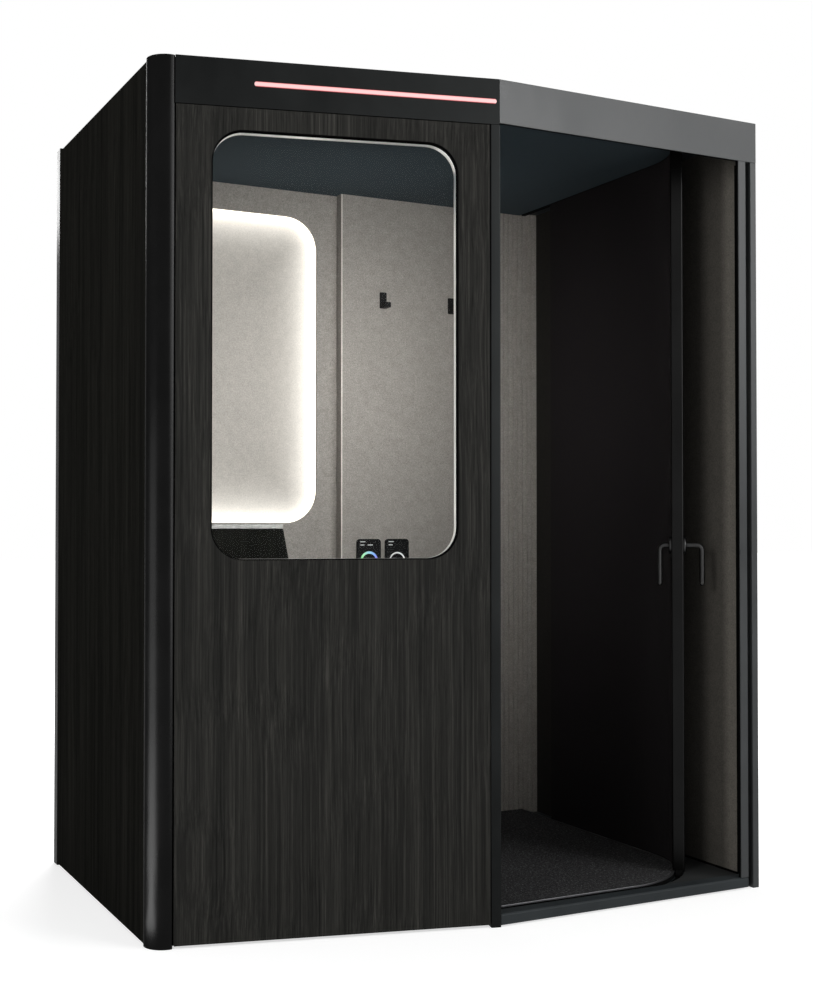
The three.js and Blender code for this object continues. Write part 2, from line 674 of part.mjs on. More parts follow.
// Ceiling, door track in it, and roof
const ceilingPlate = lidOutline(LINING_X, BACK_SKIN_Y);
const ceilingFelt = roomOutline();
FAN_X.forEach((x) => {
  ceilingPlate.holes.push(circle(x, FAN_Y, FAN_BORE));
  ceilingFelt.holes.push(circle(x, FAN_Y, FAN_BORE));
});
piece("ceiling_plate", prism(ceilingPlate, CEILING_Z, CEILING_Z + CEILING_PLATE, 16), METAL, 0.5, 0.5);
piece("ceiling_felt", prism(ceilingFelt, CEILING_Z - CEILING_FELT, CEILING_Z, 16), 0x2b363c, 0.9);
const topTrack = trackBand(-TOP_TRACK_WIDTH / 2, TOP_TRACK_WIDTH / 2, trackStart, trackEnd);
piece("top_track", prism(topTrack, TOP_TRACK_Z, CEILING_Z, 16), 0x55585a, 0.4, 0.9);
const roof = lidOutline(HALF_WIDTH - ROOF_INSET, DEPTH - ROOF_INSET);
FAN_X.forEach((x) => roof.holes.push(circle(x, FAN_Y, FAN_BORE)));
piece("roof_panel", prism(roof, PANEL_TOP, PANEL_TOP + ROOF, 16), SHELL, 0.5);

// Extractor fans
FAN_X.forEach((x, i) => {
  const frameShape = roundRect(
    x - FAN_SIZE / 2,
    x + FAN_SIZE / 2,
    FAN_Y - FAN_SIZE / 2,
    FAN_Y + FAN_SIZE / 2,
    FAN_STRUT,
  );
  frameShape.holes.push(circle(x, FAN_Y, FAN_BORE));
  const strutTop = FAN_BASE + FAN_STRUT_HEIGHT;
  const reach = FAN_BORE + FAN_STRUT / 4;
  const strutX = box(x - reach, x + reach, FAN_Y - FAN_STRUT / 2, FAN_Y + FAN_STRUT / 2, FAN_BASE, strutTop);
  const strutY = box(x - FAN_STRUT / 2, x + FAN_STRUT / 2, FAN_Y - reach, FAN_Y + reach, FAN_BASE, strutTop);
  const hub = barZ(x, FAN_Y, FAN_HUB, FAN_BASE, strutTop);
  const frame = prism(frameShape, FAN_BASE, FAN_BASE + FAN_HEIGHT, 8);
  piece(`fan_frame_${i + 1}`, join(frame, strutX, strutY, hub), BLACK, 0.5);

  const rotorLow = strutTop + GAP;
  const rotorHigh = FAN_BASE + FAN_HEIGHT - FAN_STRUT_HEIGHT;
  const rotorMid = (rotorLow + rotorHigh) / 2;
  const span = FAN_BORE - FAN_TIP_CLEAR;
  const parts = [barZ(x, FAN_Y, FAN_HUB, rotorLow, rotorHigh)];
  for (let k = 0; k < FAN_BLADES; k += 1) {
    const chord = FAN_BLADE_CHORD / 2;
    const blade = box(FAN_HUB / 2, span, -chord, chord, -FAN_BLADE / 2, FAN_BLADE / 2);
    blade.rotateX(THREE.MathUtils.degToRad(FAN_BLADE_TILT));
    blade.rotateZ((2 * Math.PI * k) / FAN_BLADES);
    blade.translate(x, FAN_Y, rotorMid);
    parts.push(blade);
  }
  piece(`fan_rotor_${i + 1}`, join(...parts), BLACK, 0.5);
});

// Worktop on the left wall, and the flared support under its front end
const worktop = new THREE.Shape();
worktop.moveTo(-FELT_X, WORKTOP_FRONT);
worktop.lineTo(WORKTOP_RIGHT - WORKTOP_RADIUS, WORKTOP_FRONT);
worktop.absarc(
  WORKTOP_RIGHT - WORKTOP_RADIUS,
  WORKTOP_FRONT + WORKTOP_RADIUS,
  WORKTOP_RADIUS,
  -Math.PI / 2,
  0,
  false,
);
worktop.lineTo(WORKTOP_RIGHT, BACK_FELT_Y);
worktop.lineTo(-FELT_X, BACK_FELT_Y);
piece("worktop", prism(worktop, WORKTOP_TOP - WORKTOP_THICK, WORKTOP_TOP, 6), 0xb4b4b2, 0.4);
const supportTop = WORKTOP_TOP - WORKTOP_THICK;
const supportFlare = (supportTop - CARPET_TOP) * Math.tan(THREE.MathUtils.degToRad(SUPPORT_FLARE));
const support = outline([
  [-FELT_X, CARPET_TOP],
  [WORKTOP_RIGHT + supportFlare, CARPET_TOP],
  [WORKTOP_RIGHT, supportTop],
  [-FELT_X, supportTop],
]);
const supportY = WORKTOP_FRONT + SUPPORT_INSET;
piece("worktop_support", upright(support, supportY, supportY + SUPPORT_THICK), BLACK, 0.5);

// Door stile, its brush seals, and the leaf behind it
const stileLow = SILL_TOP + STILE_CLEAR;
const stileHigh = OPENING_TOP - STILE_CLEAR;
const half = STILE_LENGTH / 2;
const stileBar = box(-half, half, -STILE_THICK / 2, STILE_THICK / 2, stileLow, stileHigh);
const spindleHole = barY(0, LEVER_HEIGHT, SPINDLE_RADIUS + GAP, -STILE_THICK, STILE_THICK);
piece("door_stile", cut(stileBar, spindleHole), 0x1a1819, 0.45, 0.1, stile);
const sealX = half - SEAL_INSET;
const sealLow = TRAY_TOP + FLOOR_TRACK_HEIGHT + GAP;
const sealHigh = TOP_TRACK_Z - GAP;
function seal(name, thick, z0, z1) {
  piece(name, box(-sealX, sealX, -thick / 2, thick / 2, z0, z1), BLACK, 0.9, 0, stile);
}
seal("stile_seal_bottom", LOW_SEAL_THICK, sealLow, stileLow - GAP);
seal("stile_seal_top", TOP_SEAL_THICK, stileHigh + GAP, sealHigh);

const leafIn = TRACK_RADIUS - LEAF_THICK / 2;
const leafOut = TRACK_RADIUS + LEAF_THICK / 2;
const leafTurn = stileTurn - Math.asin((half + GAP) / leafIn);
const leaf = new THREE.Shape();
leaf.moveTo(TRACK_X + leafOut * Math.cos(leafTurn), TRACK_Y - leafOut * Math.sin(leafTurn));
leaf.absarc(TRACK_X, TRACK_Y, leafOut, -leafTurn, 0, false);
leaf.lineTo(TRACK_X + leafOut, LEAF_END);
leaf.lineTo(TRACK_X + leafIn, LEAF_END);
leaf.absarc(TRACK_X, TRACK_Y, leafIn, 0, -leafTurn, true);
const leafTop = HEIGHT - LEAF_TOP_DROP;
piece("door_leaf", prism(leaf, sealLow, leafTop, 16), 0x141213, 0.5);
const carrierHalf = CARRIER_LENGTH / 2;
piece(
  "leaf_carrier",
  box(-carrierHalf, carrierHalf, -CARRIER_THICK / 2, CARRIER_THICK / 2, leafTop + GAP, sealHigh),
  0x55585a,
  0.4,
  0.8,
  carrier,
);

// Levers on both faces of the stile, their roses and the spindle between them
const roseBore = LEVER_RADIUS + GAP;
const roseProfile = [
  [roseBore, 0],
  [ROSE_RADIUS, 0],
  [ROSE_RADIUS, ROSE_THICK - ROSE_CHAMFER],
  [ROSE_RADIUS - ROSE_CHAMFER, ROSE_THICK],
  [roseBore, ROSE_THICK],
  [roseBore, 0],
];
const neckStart = STILE_THICK / 2 + GAP;
function gripPath(reach) {
  const neckEnd = STILE_THICK / 2 + reach;
  const path = new THREE.CurvePath();
  path.add(new THREE.LineCurve3(
    new THREE.Vector3(0, neckStart, LEVER_HEIGHT),
    new THREE.Vector3(0, neckEnd - LEVER_BEND, LEVER_HEIGHT),
  ));
  path.add(new THREE.QuadraticBezierCurve3(
    new THREE.Vector3(0, neckEnd - LEVER_BEND, LEVER_HEIGHT),
    new THREE.Vector3(0, neckEnd, LEVER_HEIGHT),
    new THREE.Vector3(0, neckEnd, LEVER_HEIGHT - LEVER_BEND),
  ));
  path.add(new THREE.LineCurve3(
    new THREE.Vector3(0, neckEnd, LEVER_HEIGHT - LEVER_BEND),
    new THREE.Vector3(0, neckEnd, LEVER_HEIGHT - GRIP_LENGTH),
  ));
  return path;
}
const gripSection = new THREE.Shape();
gripSection.absarc(0, 0, LEVER_RADIUS, 0, 2 * Math.PI, false);
const sides = [["inside", 1, LEVER_REACH_IN], ["outside", -1, LEVER_REACH_OUT]];
sides.forEach(([name, sign, reach]) => {
  const rose = new THREE.LatheGeometry(
    roseProfile.map(([r, y]) => new THREE.Vector2(r, y)),
    24,
  );
  rose.translate(0, neckStart, 0);
  const extrudePath = gripPath(reach);
  const lever = new THREE.ExtrudeGeometry(gripSection, { steps: 16, curveSegments: 6, extrudePath });
  if (sign < 0) {
    rose.rotateZ(Math.PI);
    lever.rotateZ(Math.PI);
  }
  rose.translate(0, 0, LEVER_HEIGHT);
  piece(`rose_${name}`, rose, 0x232222, 0.35, 0.6, stile);
  piece(`lever_${name}`, lever, 0x232222, 0.35, 0.6, stile);
});
const spindle = barY(0, LEVER_HEIGHT, SPINDLE_RADIUS, -STILE_THICK / 2, STILE_THICK / 2, 16);
piece("lever_spindle", spindle, 0x8a8c8e, 0.4, 0.9, stile);

const part = new THREE.Group();
part.add(pod);

export default part;
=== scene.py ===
import math

import bmesh
import bpy
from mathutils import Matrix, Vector


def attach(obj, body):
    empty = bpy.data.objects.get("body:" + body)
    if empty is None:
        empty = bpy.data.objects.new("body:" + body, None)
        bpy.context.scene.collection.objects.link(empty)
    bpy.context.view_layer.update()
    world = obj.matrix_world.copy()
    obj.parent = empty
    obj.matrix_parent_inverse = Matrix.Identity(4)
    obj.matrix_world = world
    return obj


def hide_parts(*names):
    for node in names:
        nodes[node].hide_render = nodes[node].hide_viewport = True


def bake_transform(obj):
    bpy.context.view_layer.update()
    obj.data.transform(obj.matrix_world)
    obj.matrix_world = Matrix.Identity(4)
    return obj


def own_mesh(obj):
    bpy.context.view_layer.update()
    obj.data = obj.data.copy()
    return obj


# Acoustic office pod. Shapes are drawn in millimetres in plan coordinates: the doorway lies in y = 0,
# the slanted front meets it at x = 0, and the back wall is at y = 1250. The row frame starts in the
# middle of that depth.

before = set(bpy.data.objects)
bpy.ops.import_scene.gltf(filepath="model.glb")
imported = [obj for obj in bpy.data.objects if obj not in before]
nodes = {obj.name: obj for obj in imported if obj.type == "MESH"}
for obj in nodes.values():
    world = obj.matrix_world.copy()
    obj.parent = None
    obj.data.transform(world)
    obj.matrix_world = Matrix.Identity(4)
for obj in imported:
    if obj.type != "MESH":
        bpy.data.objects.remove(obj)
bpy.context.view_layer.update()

# Overall sizes, the same as in the CAD model
HALF_WIDTH = 885.0
DEPTH = 1250.0
HEIGHT = 2250.0
SETBACK = 224.0
GAP = 0.3
SEAM = 0.2

# Heights
FLOOR_GAP = 8.0
TRAY_TOP = 14.0
CORNER_TOP = 29.0
CARPET_TOP = 30.0
SILL_TOP = 34.0
FRONT_TOP = 2127.5
OPENING_TOP = 2132.0
CEILING_FACE = 2198.0
CEILING = 2206.0
PANEL_TOP = 2240.0
ROOF_TOP = 2248.0

# Walls: outer skin, linings and the panels on the back wall
SKIN = 12.0
FRONT_WALL = 60.0
LINING_X = HALF_WIDTH - SKIN
FELT_X = 840.0
RIGHT_FELT = 852.0
# Depth where the right wall's felt is painted nearly black as shade
SHADE_START = 957.0
BACK_SKIN = DEPTH - SKIN
BACK_FELT = 1187.0
BACK_BOARD = 20.0
PROUD = 1146.5
PROUD_LEFT = 62.0
RIB_LEFT = 690.0
RIB_PITCH = 20.0
RIB_DEPTH = 6.0

# Posts, headers and the doorway
BACK_POST = 45.0
POST_X = HALF_WIDTH - BACK_POST
POST_Y = DEPTH - BACK_POST
COLUMN_FACE = 59.0
COLUMN_R = 55.0
COLUMN_Y = 270.0
COLUMN_EDGE_R = 32.0
COLUMN_EDGE_TURN = math.radians(30)
MID_FACE = 24.6
MID_RETURN = 3.0
MID_DEPTH = 91.0
FRAME_X = 845.0
DOOR_POST_X = 863.0
DOOR_POST_DEPTH = 50.0
SHADOW_DEPTH = 30.0
JAMB_X = 818.0
JAMB_DEPTH = 11.0
SILL_LOW = 5.0
SILL_DEPTH = 46.0
FASCIA = 3.5
FASCIA_BACK = 12.0
HEADER_DEPTH = 45.0
HEADER_FACE = 6.0
ROOF_INSET = 8.0

# Slanted front
FRONT_ANGLE = math.atan2(SETBACK, HALF_WIDTH)
FRONT_LENGTH = math.hypot(HALF_WIDTH, SETBACK)
FRONT_END = FRONT_LENGTH - COLUMN_FACE
MITRE = math.tan(FRONT_ANGLE / 2)
VENEER_START = 26.6
VENEER_TOP = FRONT_TOP - 1.8
SEAL = 3.0

# Door track, leaf, stile and levers
TRACK_X = 500.0
TRACK_Y = 362.0
TRACK_R = 295.0
TRACK_START = 6.0
TRACK_END = PROUD - GAP
TRACK_HALF = 5.0
TRACK_LIP = 2.0
TRACK_FLOOR = 15.0
TRACK_TOP = 17.0
RAIL_HALF = 8.0
CARPET_R = 280.0
CARPET_RIM = CARPET_R - TRACK_R + GAP
EDGE_WIDTH = 3.0
EDGE_LOW = CARPET_TOP - 3.7
EDGE_TOP = CARPET_TOP + 1.5
CORNER_R = 312.0
CORNER_START = math.radians(80)
STILE_ANGLE = math.radians(38.45)
STILE_X = TRACK_X + TRACK_R * math.cos(STILE_ANGLE)
STILE_Y = TRACK_Y - TRACK_R * math.sin(STILE_ANGLE)
STILE_TURN = math.pi / 2 - STILE_ANGLE
STILE_HALF = 18.0
STILE_REACH = 30.0
STILE_LOW = 36.0
LEAF_HALF = 11.0
LEAF_END = 950.0
LEAF_LOW = 17.3
LEAF_HIGH = 2197.0
LEAD_TURN = math.radians(4)
LEVER_Z = 1001.0
LEVER_R = 8.0
LEVER_BEND = 16.0
LEVER_GRIP = 114.0
ROSE_R = 26.0
ROSE_THICK = 8.0

# Window, light bar and recess: left, right, bottom and top
WINDOW = (113.0, 761.7, 971.0, 2069.0)
WINDOW_R = 83.0
WINDOW_LINER = 2.6
REBATE = 7.0
GASKET_BACK = 19.0
TRIM_BACK = 39.5
GLASS_FACE = 39.8
GLASS_BACK = 51.8
STATUS = (7.4, 652.9, 2182.95, 2196.45)
STATUS_R = 6.45
RECESS = (-735.0, -12.0, 1070.0, 2111.0)
RECESS_R = 110.0
RECESS_DEPTH = 27.0

# Fittings
HOOK_X = (220.0, 490.0)
HOOK_HALF = 12.5
HOOK_R = 3.0
HOOK_PLATE = 6.0
HOOK_LOW = 1815.0
HOOK_HIGH = 1871.0
HOOK_FOOT = 18.0
HOOK_REACH = 40.0
TOUCH_X = (164.0, 272.5)
TOUCH_HALF = 45.75
TOUCH_LOW = 923.0
TOUCH_HIGH = 1014.5
TOUCH_THICK = 8.0
TOUCH_R = 12.0
DIAL_Z = 938.0
DIAL_R = (34.0, 31.0)
DIAL_HOLE = 26.0
WORKTOP_FRONT = 495.0
WORKTOP_RIGHT = -415.0
WORKTOP_R = 4.0
WORKTOP_LOW = 1051.0
WORKTOP_TOP = 1063.0
SUPPORT_FLARE = math.radians(11)
FANS = [(-560.0, 390.0), (-250.0, 390.0)]
FAN_BORE = 56.0
FEET = [(-750.0, 360.0), (-750.0, 1097.0), (750.0, 1097.0), (750.0, 136.0)]


# Places: each takes a drawing's own coordinates to the row frame
def at(x, y, z):
    return Vector((x / 1000, (y - DEPTH / 2) / 1000, z / 1000))


def on_front(along, depth):
    c = math.cos(FRONT_ANGLE)
    s = math.sin(FRONT_ANGLE)
    return -along * c + depth * s, along * s + depth * c


def in_plan(u, v, w):
    return at(u, v, w)


def facing(u, v, w):
    return at(u, w, v)


def on_slant(u, v, w):
    x, y = on_front(u, w)
    return at(x, y, v)


def at_stile(x, y, z):
    c = math.cos(STILE_TURN)
    s = math.sin(STILE_TURN)
    return at(STILE_X + x * c - y * s, STILE_Y + x * s + y * c, z)


# Outlines
def arc(cx, cy, radius, start, end, steps):
    points = []
    for i in range(steps + 1):
        angle = start + (end - start) * i / steps
        points.append((cx + radius * math.cos(angle), cy + radius * math.sin(angle)))
    return points


def circle(cx, cy, radius, steps=48):
    return arc(cx, cy, radius, 0, 2 * math.pi * (1 - 1 / steps), steps - 1)


def rect(x0, x1, y0, y1):
    return [(x0, y0), (x1, y0), (x1, y1), (x0, y1)]


def round_rect(x0, x1, y0, y1, radius, steps=14):
    quarter = math.pi / 2
    corners = [(x1 - radius, y1 - radius), (x0 + radius, y1 - radius)]
    corners += [(x0 + radius, y0 + radius), (x1 - radius, y0 + radius)]
    points = []
    for i, (cx, cy) in enumerate(corners):
        points += arc(cx, cy, radius, i * quarter, (i + 1) * quarter, steps)
    return points


def grown(box, radius, margin):
    x0, x1, y0, y1 = box
    return round_rect(x0 - margin, x1 + margin, y0 - margin, y1 + margin, radius + margin)


# Outline with its sharp corners rounded
def soft(points, radius, steps=4):
    out = []
    count = len(points)
    for i in range(count):
        here = Vector(points[i])
        to_last = Vector(points[i - 1]) - here
        to_next = Vector(points[(i + 1) % count]) - here
        half = to_last.angle(to_next) / 2
        if half > math.radians(78):
            out.append(tuple(here))
            continue
        reach = min(radius / math.tan(half), 0.45 * min(to_last.length, to_next.length))
        r = reach * math.tan(half)
        middle = (to_last.normalized() + to_next.normalized()).normalized()
        centre = here + middle * (r / math.sin(half))
        first = here + to_last.normalized() * reach - centre
        last = here + to_next.normalized() * reach - centre
        for k in range(steps + 1):
            spoke = first.lerp(last, k / steps).normalized() * r
            out.append(tuple(centre + spoke))
    return out


# Band along the door track between two distances from its line
def track_band(inner, outer, steps=40):
    near = TRACK_R + inner
    far = TRACK_R + outer
    out = arc(TRACK_X, TRACK_Y, far, -math.pi / 2, 0, steps)
    back = arc(TRACK_X, TRACK_Y, near, 0, -math.pi / 2, steps)
    ends = [(TRACK_X + far, TRACK_END), (TRACK_X + near, TRACK_END)]
    start = [(TRACK_START, TRACK_Y - near), (TRACK_START, TRACK_Y - far)]
    return out + ends + back + start


# Closed tube through rings of points
def tube(name, rings, smooth=35):
    sides = len(rings[0])
    last = sides * (len(rings) - 1)
    faces = [tuple(range(sides))]
    for k in range(0, last, sides):
        for i in range(sides):
            j = (i + 1) % sides
            faces.append((k + i, k + j, k + sides + j, k + sides + i))
    faces.append(tuple(range(last, last + sides)))
    mesh = bpy.data.meshes.new(name)
    mesh.from_pydata([tuple(point) for ring in rings for point in ring], [], faces)
    bm = bmesh.new()
    bm.from_mesh(mesh)
    bmesh.ops.recalc_face_normals(bm, faces=bm.faces)
    bm.to_mesh(mesh)
    bm.free()
    return shown(name, mesh, smooth)


def shown(name, mesh, smooth=35):
    mesh.shade_smooth()
    mesh.set_sharp_from_angle(angle=math.radians(smooth))
    piece = bpy.data.objects.new(name, mesh)
    bpy.context.scene.collection.objects.link(piece)
    weighted = piece.modifiers.new("normals", "WEIGHTED_NORMAL")
    weighted.keep_sharp = True
    return piece


# Plate with rounded rims: an outline and its holes, given thickness
def slab(name, loops, low, high, place, bevel, steps=2):
    curve = bpy.data.curves.new(name, "CURVE")
    curve.dimensions = "2D"
    curve.fill_mode = "BOTH"
    curve.extrude = (high - low) / 2 - bevel
    curve.bevel_depth = bevel
    curve.bevel_resolution = steps
    curve.offset = -bevel
    for loop in loops:
        spline = curve.splines.new("POLY")
        spline.points.add(len(loop) - 1)
        for point, (u, v) in zip(spline.points, loop):
            point.co = (u, v, 0, 1)
        spline.use_cyclic_u = True
    drawn = bpy.data.objects.new(name, curve)
    mesh = bpy.data.meshes.new_from_object(drawn)
    bpy.data.objects.remove(drawn)
    bpy.data.curves.remove(curve)
    bm = bmesh.new()
    bm.from_mesh(mesh)
    bmesh.ops.remove_doubles(bm, verts=bm.verts, dist=0.01)
    middle = (low + high) / 2
    for vert in bm.verts:
        vert.co = place(vert.co.x, vert.co.y, middle + vert.co.z)
    bmesh.ops.recalc_face_normals(bm, faces=bm.faces)
    bm.to_mesh(mesh)
    bm.free()
    mesh.name = name
    return shown(name, mesh)


# Turned shape: rings of radius and height about an axis
def turned(name, profile, place, sides=48):
    turns = [2 * math.pi * i / sides for i in range(sides)]
    rings = []
    for radius, height in profile:
        rings.append([place(radius * math.cos(turn), radius * math.sin(turn), height) for turn in turns])
    return tube(name, rings)


# Round bar along a path drawn in one upright plane, with a domed end
def bar(name, path, radius, place, sides=24, dome=6):
    stations = []
    for i, (y, z) in enumerate(path):
        y0, z0 = path[max(i - 1, 0)]
        y1, z1 = path[min(i + 1, len(path) - 1)]
        length = math.hypot(y1 - y0, z1 - z0)
        stations.append((y, z, (y1 - y0) / length, (z1 - z0) / length, radius))
    y, z, ty, tz, _ = stations[-1]
    for k in range(1, dome + 1):
        angle = math.pi / 2 * k / dome
        ahead = radius * math.sin(angle)
        thin = max(radius * math.cos(angle), 0.05)
        stations.append((y + ty * ahead, z + tz * ahead, ty, tz, thin))
    rings = []
    for y, z, ty, tz, r in stations:
        ring = []
        for i in range(sides):
            angle = 2 * math.pi * i / sides
            across = r * math.sin(angle)
            ring.append(place(r * math.cos(angle), y - tz * across, z + ty * across))
        rings.append(ring)
    return tube(name, rings, 60)


# Materials
def srgb(*levels):
    out = []
    for level in levels:
        c = level / 255
        out.append(c / 12.92 if c <= 0.04045 else ((c + 0.055) / 1.055) ** 2.4)
    return tuple(out)


# Colour made darker or lighter
def scaled(colour, gain):
    return tuple(gain * c for c in colour)


# Material under way: its shader, and the nodes that feed it
class Finish:
    def __init__(self, name, colour, rough, metal=0.0, specular=0.5):
        self.material = bpy.data.materials.new(name)
        self.material.use_nodes = True
        self.tree = self.material.node_tree
        self.shader = self.tree.nodes["Principled BSDF"]
        self.set("Base Color", (*colour, 1))
        self.set("Roughness", rough)
        self.set("Metallic", metal)
        self.set("Specular IOR Level", specular)
        self.place = self.node("ShaderNodeTexCoord").outputs["Object"]

    def node(self, kind):
        return self.tree.nodes.new(kind)

    def set(self, socket, value):
        self.shader.inputs[socket].default_value = value

    def link(self, source, target):
        self.tree.links.new(source, target)

    def feed(self, socket, source):
        self.link(source, self.shader.inputs[socket])

    def axes(self, source):
        split = self.node("ShaderNodeSeparateXYZ")
        self.link(source, split.inputs[0])
        return split.outputs

    def stretched(self, stretch):
        mapping = self.node("ShaderNodeMapping")
        mapping.inputs["Scale"].default_value = stretch
        self.link(self.place, mapping.inputs["Vector"])
        return mapping.outputs["Vector"]

    def noise(self, scale, stretch=(1, 1, 1), detail=4.0, rough=0.6):
        texture = self.node("ShaderNodeTexNoise")
        texture.inputs["Scale"].default_value = scale
        texture.inputs["Detail"].default_value = detail
        texture.inputs["Roughness"].default_value = rough
        self.link(self.stretched(stretch), texture.inputs["Vector"])
        return texture.outputs["Fac"]

    # Lets what is drawn next lean gently to and fro over the height
    def sway(self, reach):
        slow = self.math("SUBTRACT", self.noise(1.8, (1, 1, 0.6), 2), 0.5)
        aside = self.node("ShaderNodeCombineXYZ")
        for axis in ("X", "Y"):
            self.link(self.math("MULTIPLY", slow, reach), aside.inputs[axis])
        moved = self.node("ShaderNodeVectorMath")
        self.link(self.place, moved.inputs[0])
        self.link(aside.outputs[0], moved.inputs[1])
        self.place = moved.outputs[0]

    def cells(self, scale):
        texture = self.node("ShaderNodeTexVoronoi")
        texture.inputs["Scale"].default_value = scale
        self.link(self.place, texture.inputs["Vector"])
        return texture.outputs["Distance"]

    def ramp(self, source, *stops):
        ramp = self.node("ShaderNodeValToRGB")
        elements = ramp.color_ramp.elements
        while len(elements) < len(stops):
            elements.new(0.5)
        for element, (position, colour) in zip(elements, stops):
            element.position = position
            element.color = (*colour, 1)
        self.link(source, ramp.inputs["Fac"])
        return ramp.outputs["Color"]

    def mix(self, kind, factor, first, second):
        mix = self.node("ShaderNodeMix")
        mix.data_type = "RGBA"
        mix.blend_type = kind
        for value, socket in ((factor, mix.inputs[0]), (first, mix.inputs[6]), (second, mix.inputs[7])):
            if isinstance(value, bpy.types.NodeSocket):
                self.link(value, socket)
            else:
                socket.default_value = value if isinstance(value, float) else (*value, 1)
        return mix.outputs[2]

    def math(self, operation, first, second=0.0):
        node = self.node("ShaderNodeMath")
        node.operation = operation
        for value, socket in ((first, node.inputs[0]), (second, node.inputs[1])):
            if isinstance(value, bpy.types.NodeSocket):
                self.link(value, socket)
            else:
                socket.default_value = value
        return node.outputs[0]

    def span(self, source, low, high, to_low, to_high):
        node = self.node("ShaderNodeMapRange")
        self.link(source, node.inputs["Value"])
        node.inputs["From Min"].default_value = low
        node.inputs["From Max"].default_value = high
        node.inputs["To Min"].default_value = to_low
        node.inputs["To Max"].default_value = to_high
        return node.outputs["Result"]

    def bump(self, height, strength, distance):
        node = self.node("ShaderNodeBump")
        node.inputs["Strength"].default_value = strength
        node.inputs["Distance"].default_value = distance
        self.link(height, node.inputs["Height"])
        self.feed("Normal", node.outputs["Normal"])


# Wood with a fine upright grain: broad figure, streaks and dark pores
def wood(name, dark, middle, light, rough, specular):
    finish = Finish(name, middle, rough, 0.0, specular)
    finish.sway(0.05)
    figure = finish.noise(30, (1, 1, 0.02), 3)
    streaks = finish.noise(210, (1, 1, 0.006), 6, 0.7)
    pores = finish.noise(900, (1, 1, 0.02), 2)
    base = finish.ramp(streaks, (0.3, dark), (0.52, middle), (0.74, light))
    broad = finish.ramp(figure, (0.3, (0.67, 0.67, 0.67)), (0.7, (1.23, 1.21, 1.19)))
    figured = finish.mix("MULTIPLY", 1.0, base, broad)
    fine = finish.ramp(pores, (0.36, (0.55, 0.55, 0.55)), (0.5, (1, 1, 1)))
    finish.feed("Base Color", finish.mix("MULTIPLY", 0.55, figured, fine))
    finish.feed("Roughness", finish.span(streaks, 0.3, 0.7, rough + 0.1, rough - 0.06))
    finish.bump(finish.math("ADD", streaks, pores), 0.35, 0.0006)
    return finish.material


# Painted metal with a fine orange-peel and slightly uneven gloss
def paint(name, colour, rough, specular, metal=0.0):
    finish = Finish(name, colour, rough, metal, specular)
    if metal:
        finish.set("Specular Tint", (0.5, 0.5, 0.5, 1))
    cloud = finish.noise(7, (1, 1, 0.6), 4)
    ends = (0.3, scaled(colour, 0.86)), (0.7, scaled(colour, 1.12))
    finish.feed("Base Color", finish.ramp(cloud, *ends))
    finish.feed("Roughness", finish.span(cloud, 0.3, 0.7, rough - 0.05, rough + 0.06))
    finish.bump(finish.noise(1400, (1, 1, 1), 2), 0.08, 0.0003)
    return finish.material


FELT_COLOUR = srgb(150, 146, 141)
FELT_BITE = 0.22
FELT_ROUGH = 0.95
FELT_GLOSS = 0.05
GLOW_FADE = 20.0
GLOW_RIM = 1.4
GLOW_REST = 0.12


# Needled felt: soft mottling, light and dark fibres and a fuzzy surface. An edge paints light on it, paler
# towards the doorway: by how much, and between which two depths
def felt(name, colour, bite=FELT_BITE, edge=None):
    finish = Finish(name, colour, FELT_ROUGH, 0.0, FELT_GLOSS)
    tone = felt_tone(finish, colour, bite)
    if edge:
        tone = finish.mix("MULTIPLY", 1.0, tone, painted_doorway_light(finish, *edge))
    finish.feed("Base Color", tone)
    finish.set("Sheen Weight", 0.05)
    fuzz(finish, 0.5, 0.0012)
    return finish.material


def felt_tone(finish, colour, bite):
    cloud = finish.noise(45, (1, 1, 1), 4, 0.6)
    fibre = finish.noise(190, (1, 1, 1), 8, 0.85)
    base = finish.ramp(cloud, (0.35, scaled(colour, 1 - bite / 3)), (0.65, scaled(colour, 1 + bite / 3)))
    dark = (1 - 1.6 * bite,) * 3
    pale = (1 + 1.4 * bite,) * 3
    flecks = finish.ramp(fibre, (0.36, dark), (0.5, (1, 1, 1)), (0.64, pale))
    return finish.mix("MULTIPLY", 1.0, base, flecks)


# Painted light: a gain of 1 at the far depth that rises to its most at the near depth, so the felt grows
# paler towards the doorway
def painted_doorway_light(finish, most, near, far):
    gain = finish.span(finish.axes(finish.place)["Y"], at(0, near, 0).y, at(0, far, 0).y, most, 1.0)
    tint = finish.node("ShaderNodeCombineXYZ")
    for axis in ("X", "Y", "Z"):
        finish.link(gain, tint.inputs[axis])
    return tint.outputs[0]


def fuzz(finish, strength, depth):
    finish.bump(finish.noise(420, (1, 1, 1), 5, 0.75), strength, depth)


# Brushed or anodised metal, with fine lines along one direction
def metal(name, colour, rough):
    finish = Finish(name, colour, rough, 1.0)
    lines = finish.noise(1100, (1, 1, 0.02), 3)
    finish.feed("Base Color", finish.ramp(lines, (0.3, scaled(colour, 0.85)), (0.7, colour)))
    finish.feed("Roughness", finish.span(lines, 0.3, 0.7, rough - 0.06, rough + 0.1))
    finish.bump(lines, 0.06, 0.0002)
    return finish.material


# Moulded plastic or rubber with a fine grain
def moulded(name, colour, rough, specular=0.3):
    finish = Finish(name, colour, rough, 0.0, specular)
    grain = finish.noise(900, (1, 1, 1), 3)
    ends = (0.3, scaled(colour, 0.8)), (0.7, scaled(colour, 1.2))
    finish.feed("Base Color", finish.ramp(finish.noise(60), *ends))
    finish.feed("Roughness", finish.span(grain, 0.3, 0.7, rough - 0.05, rough + 0.08))
    finish.bump(grain, 0.15, 0.0004)
    return finish.material


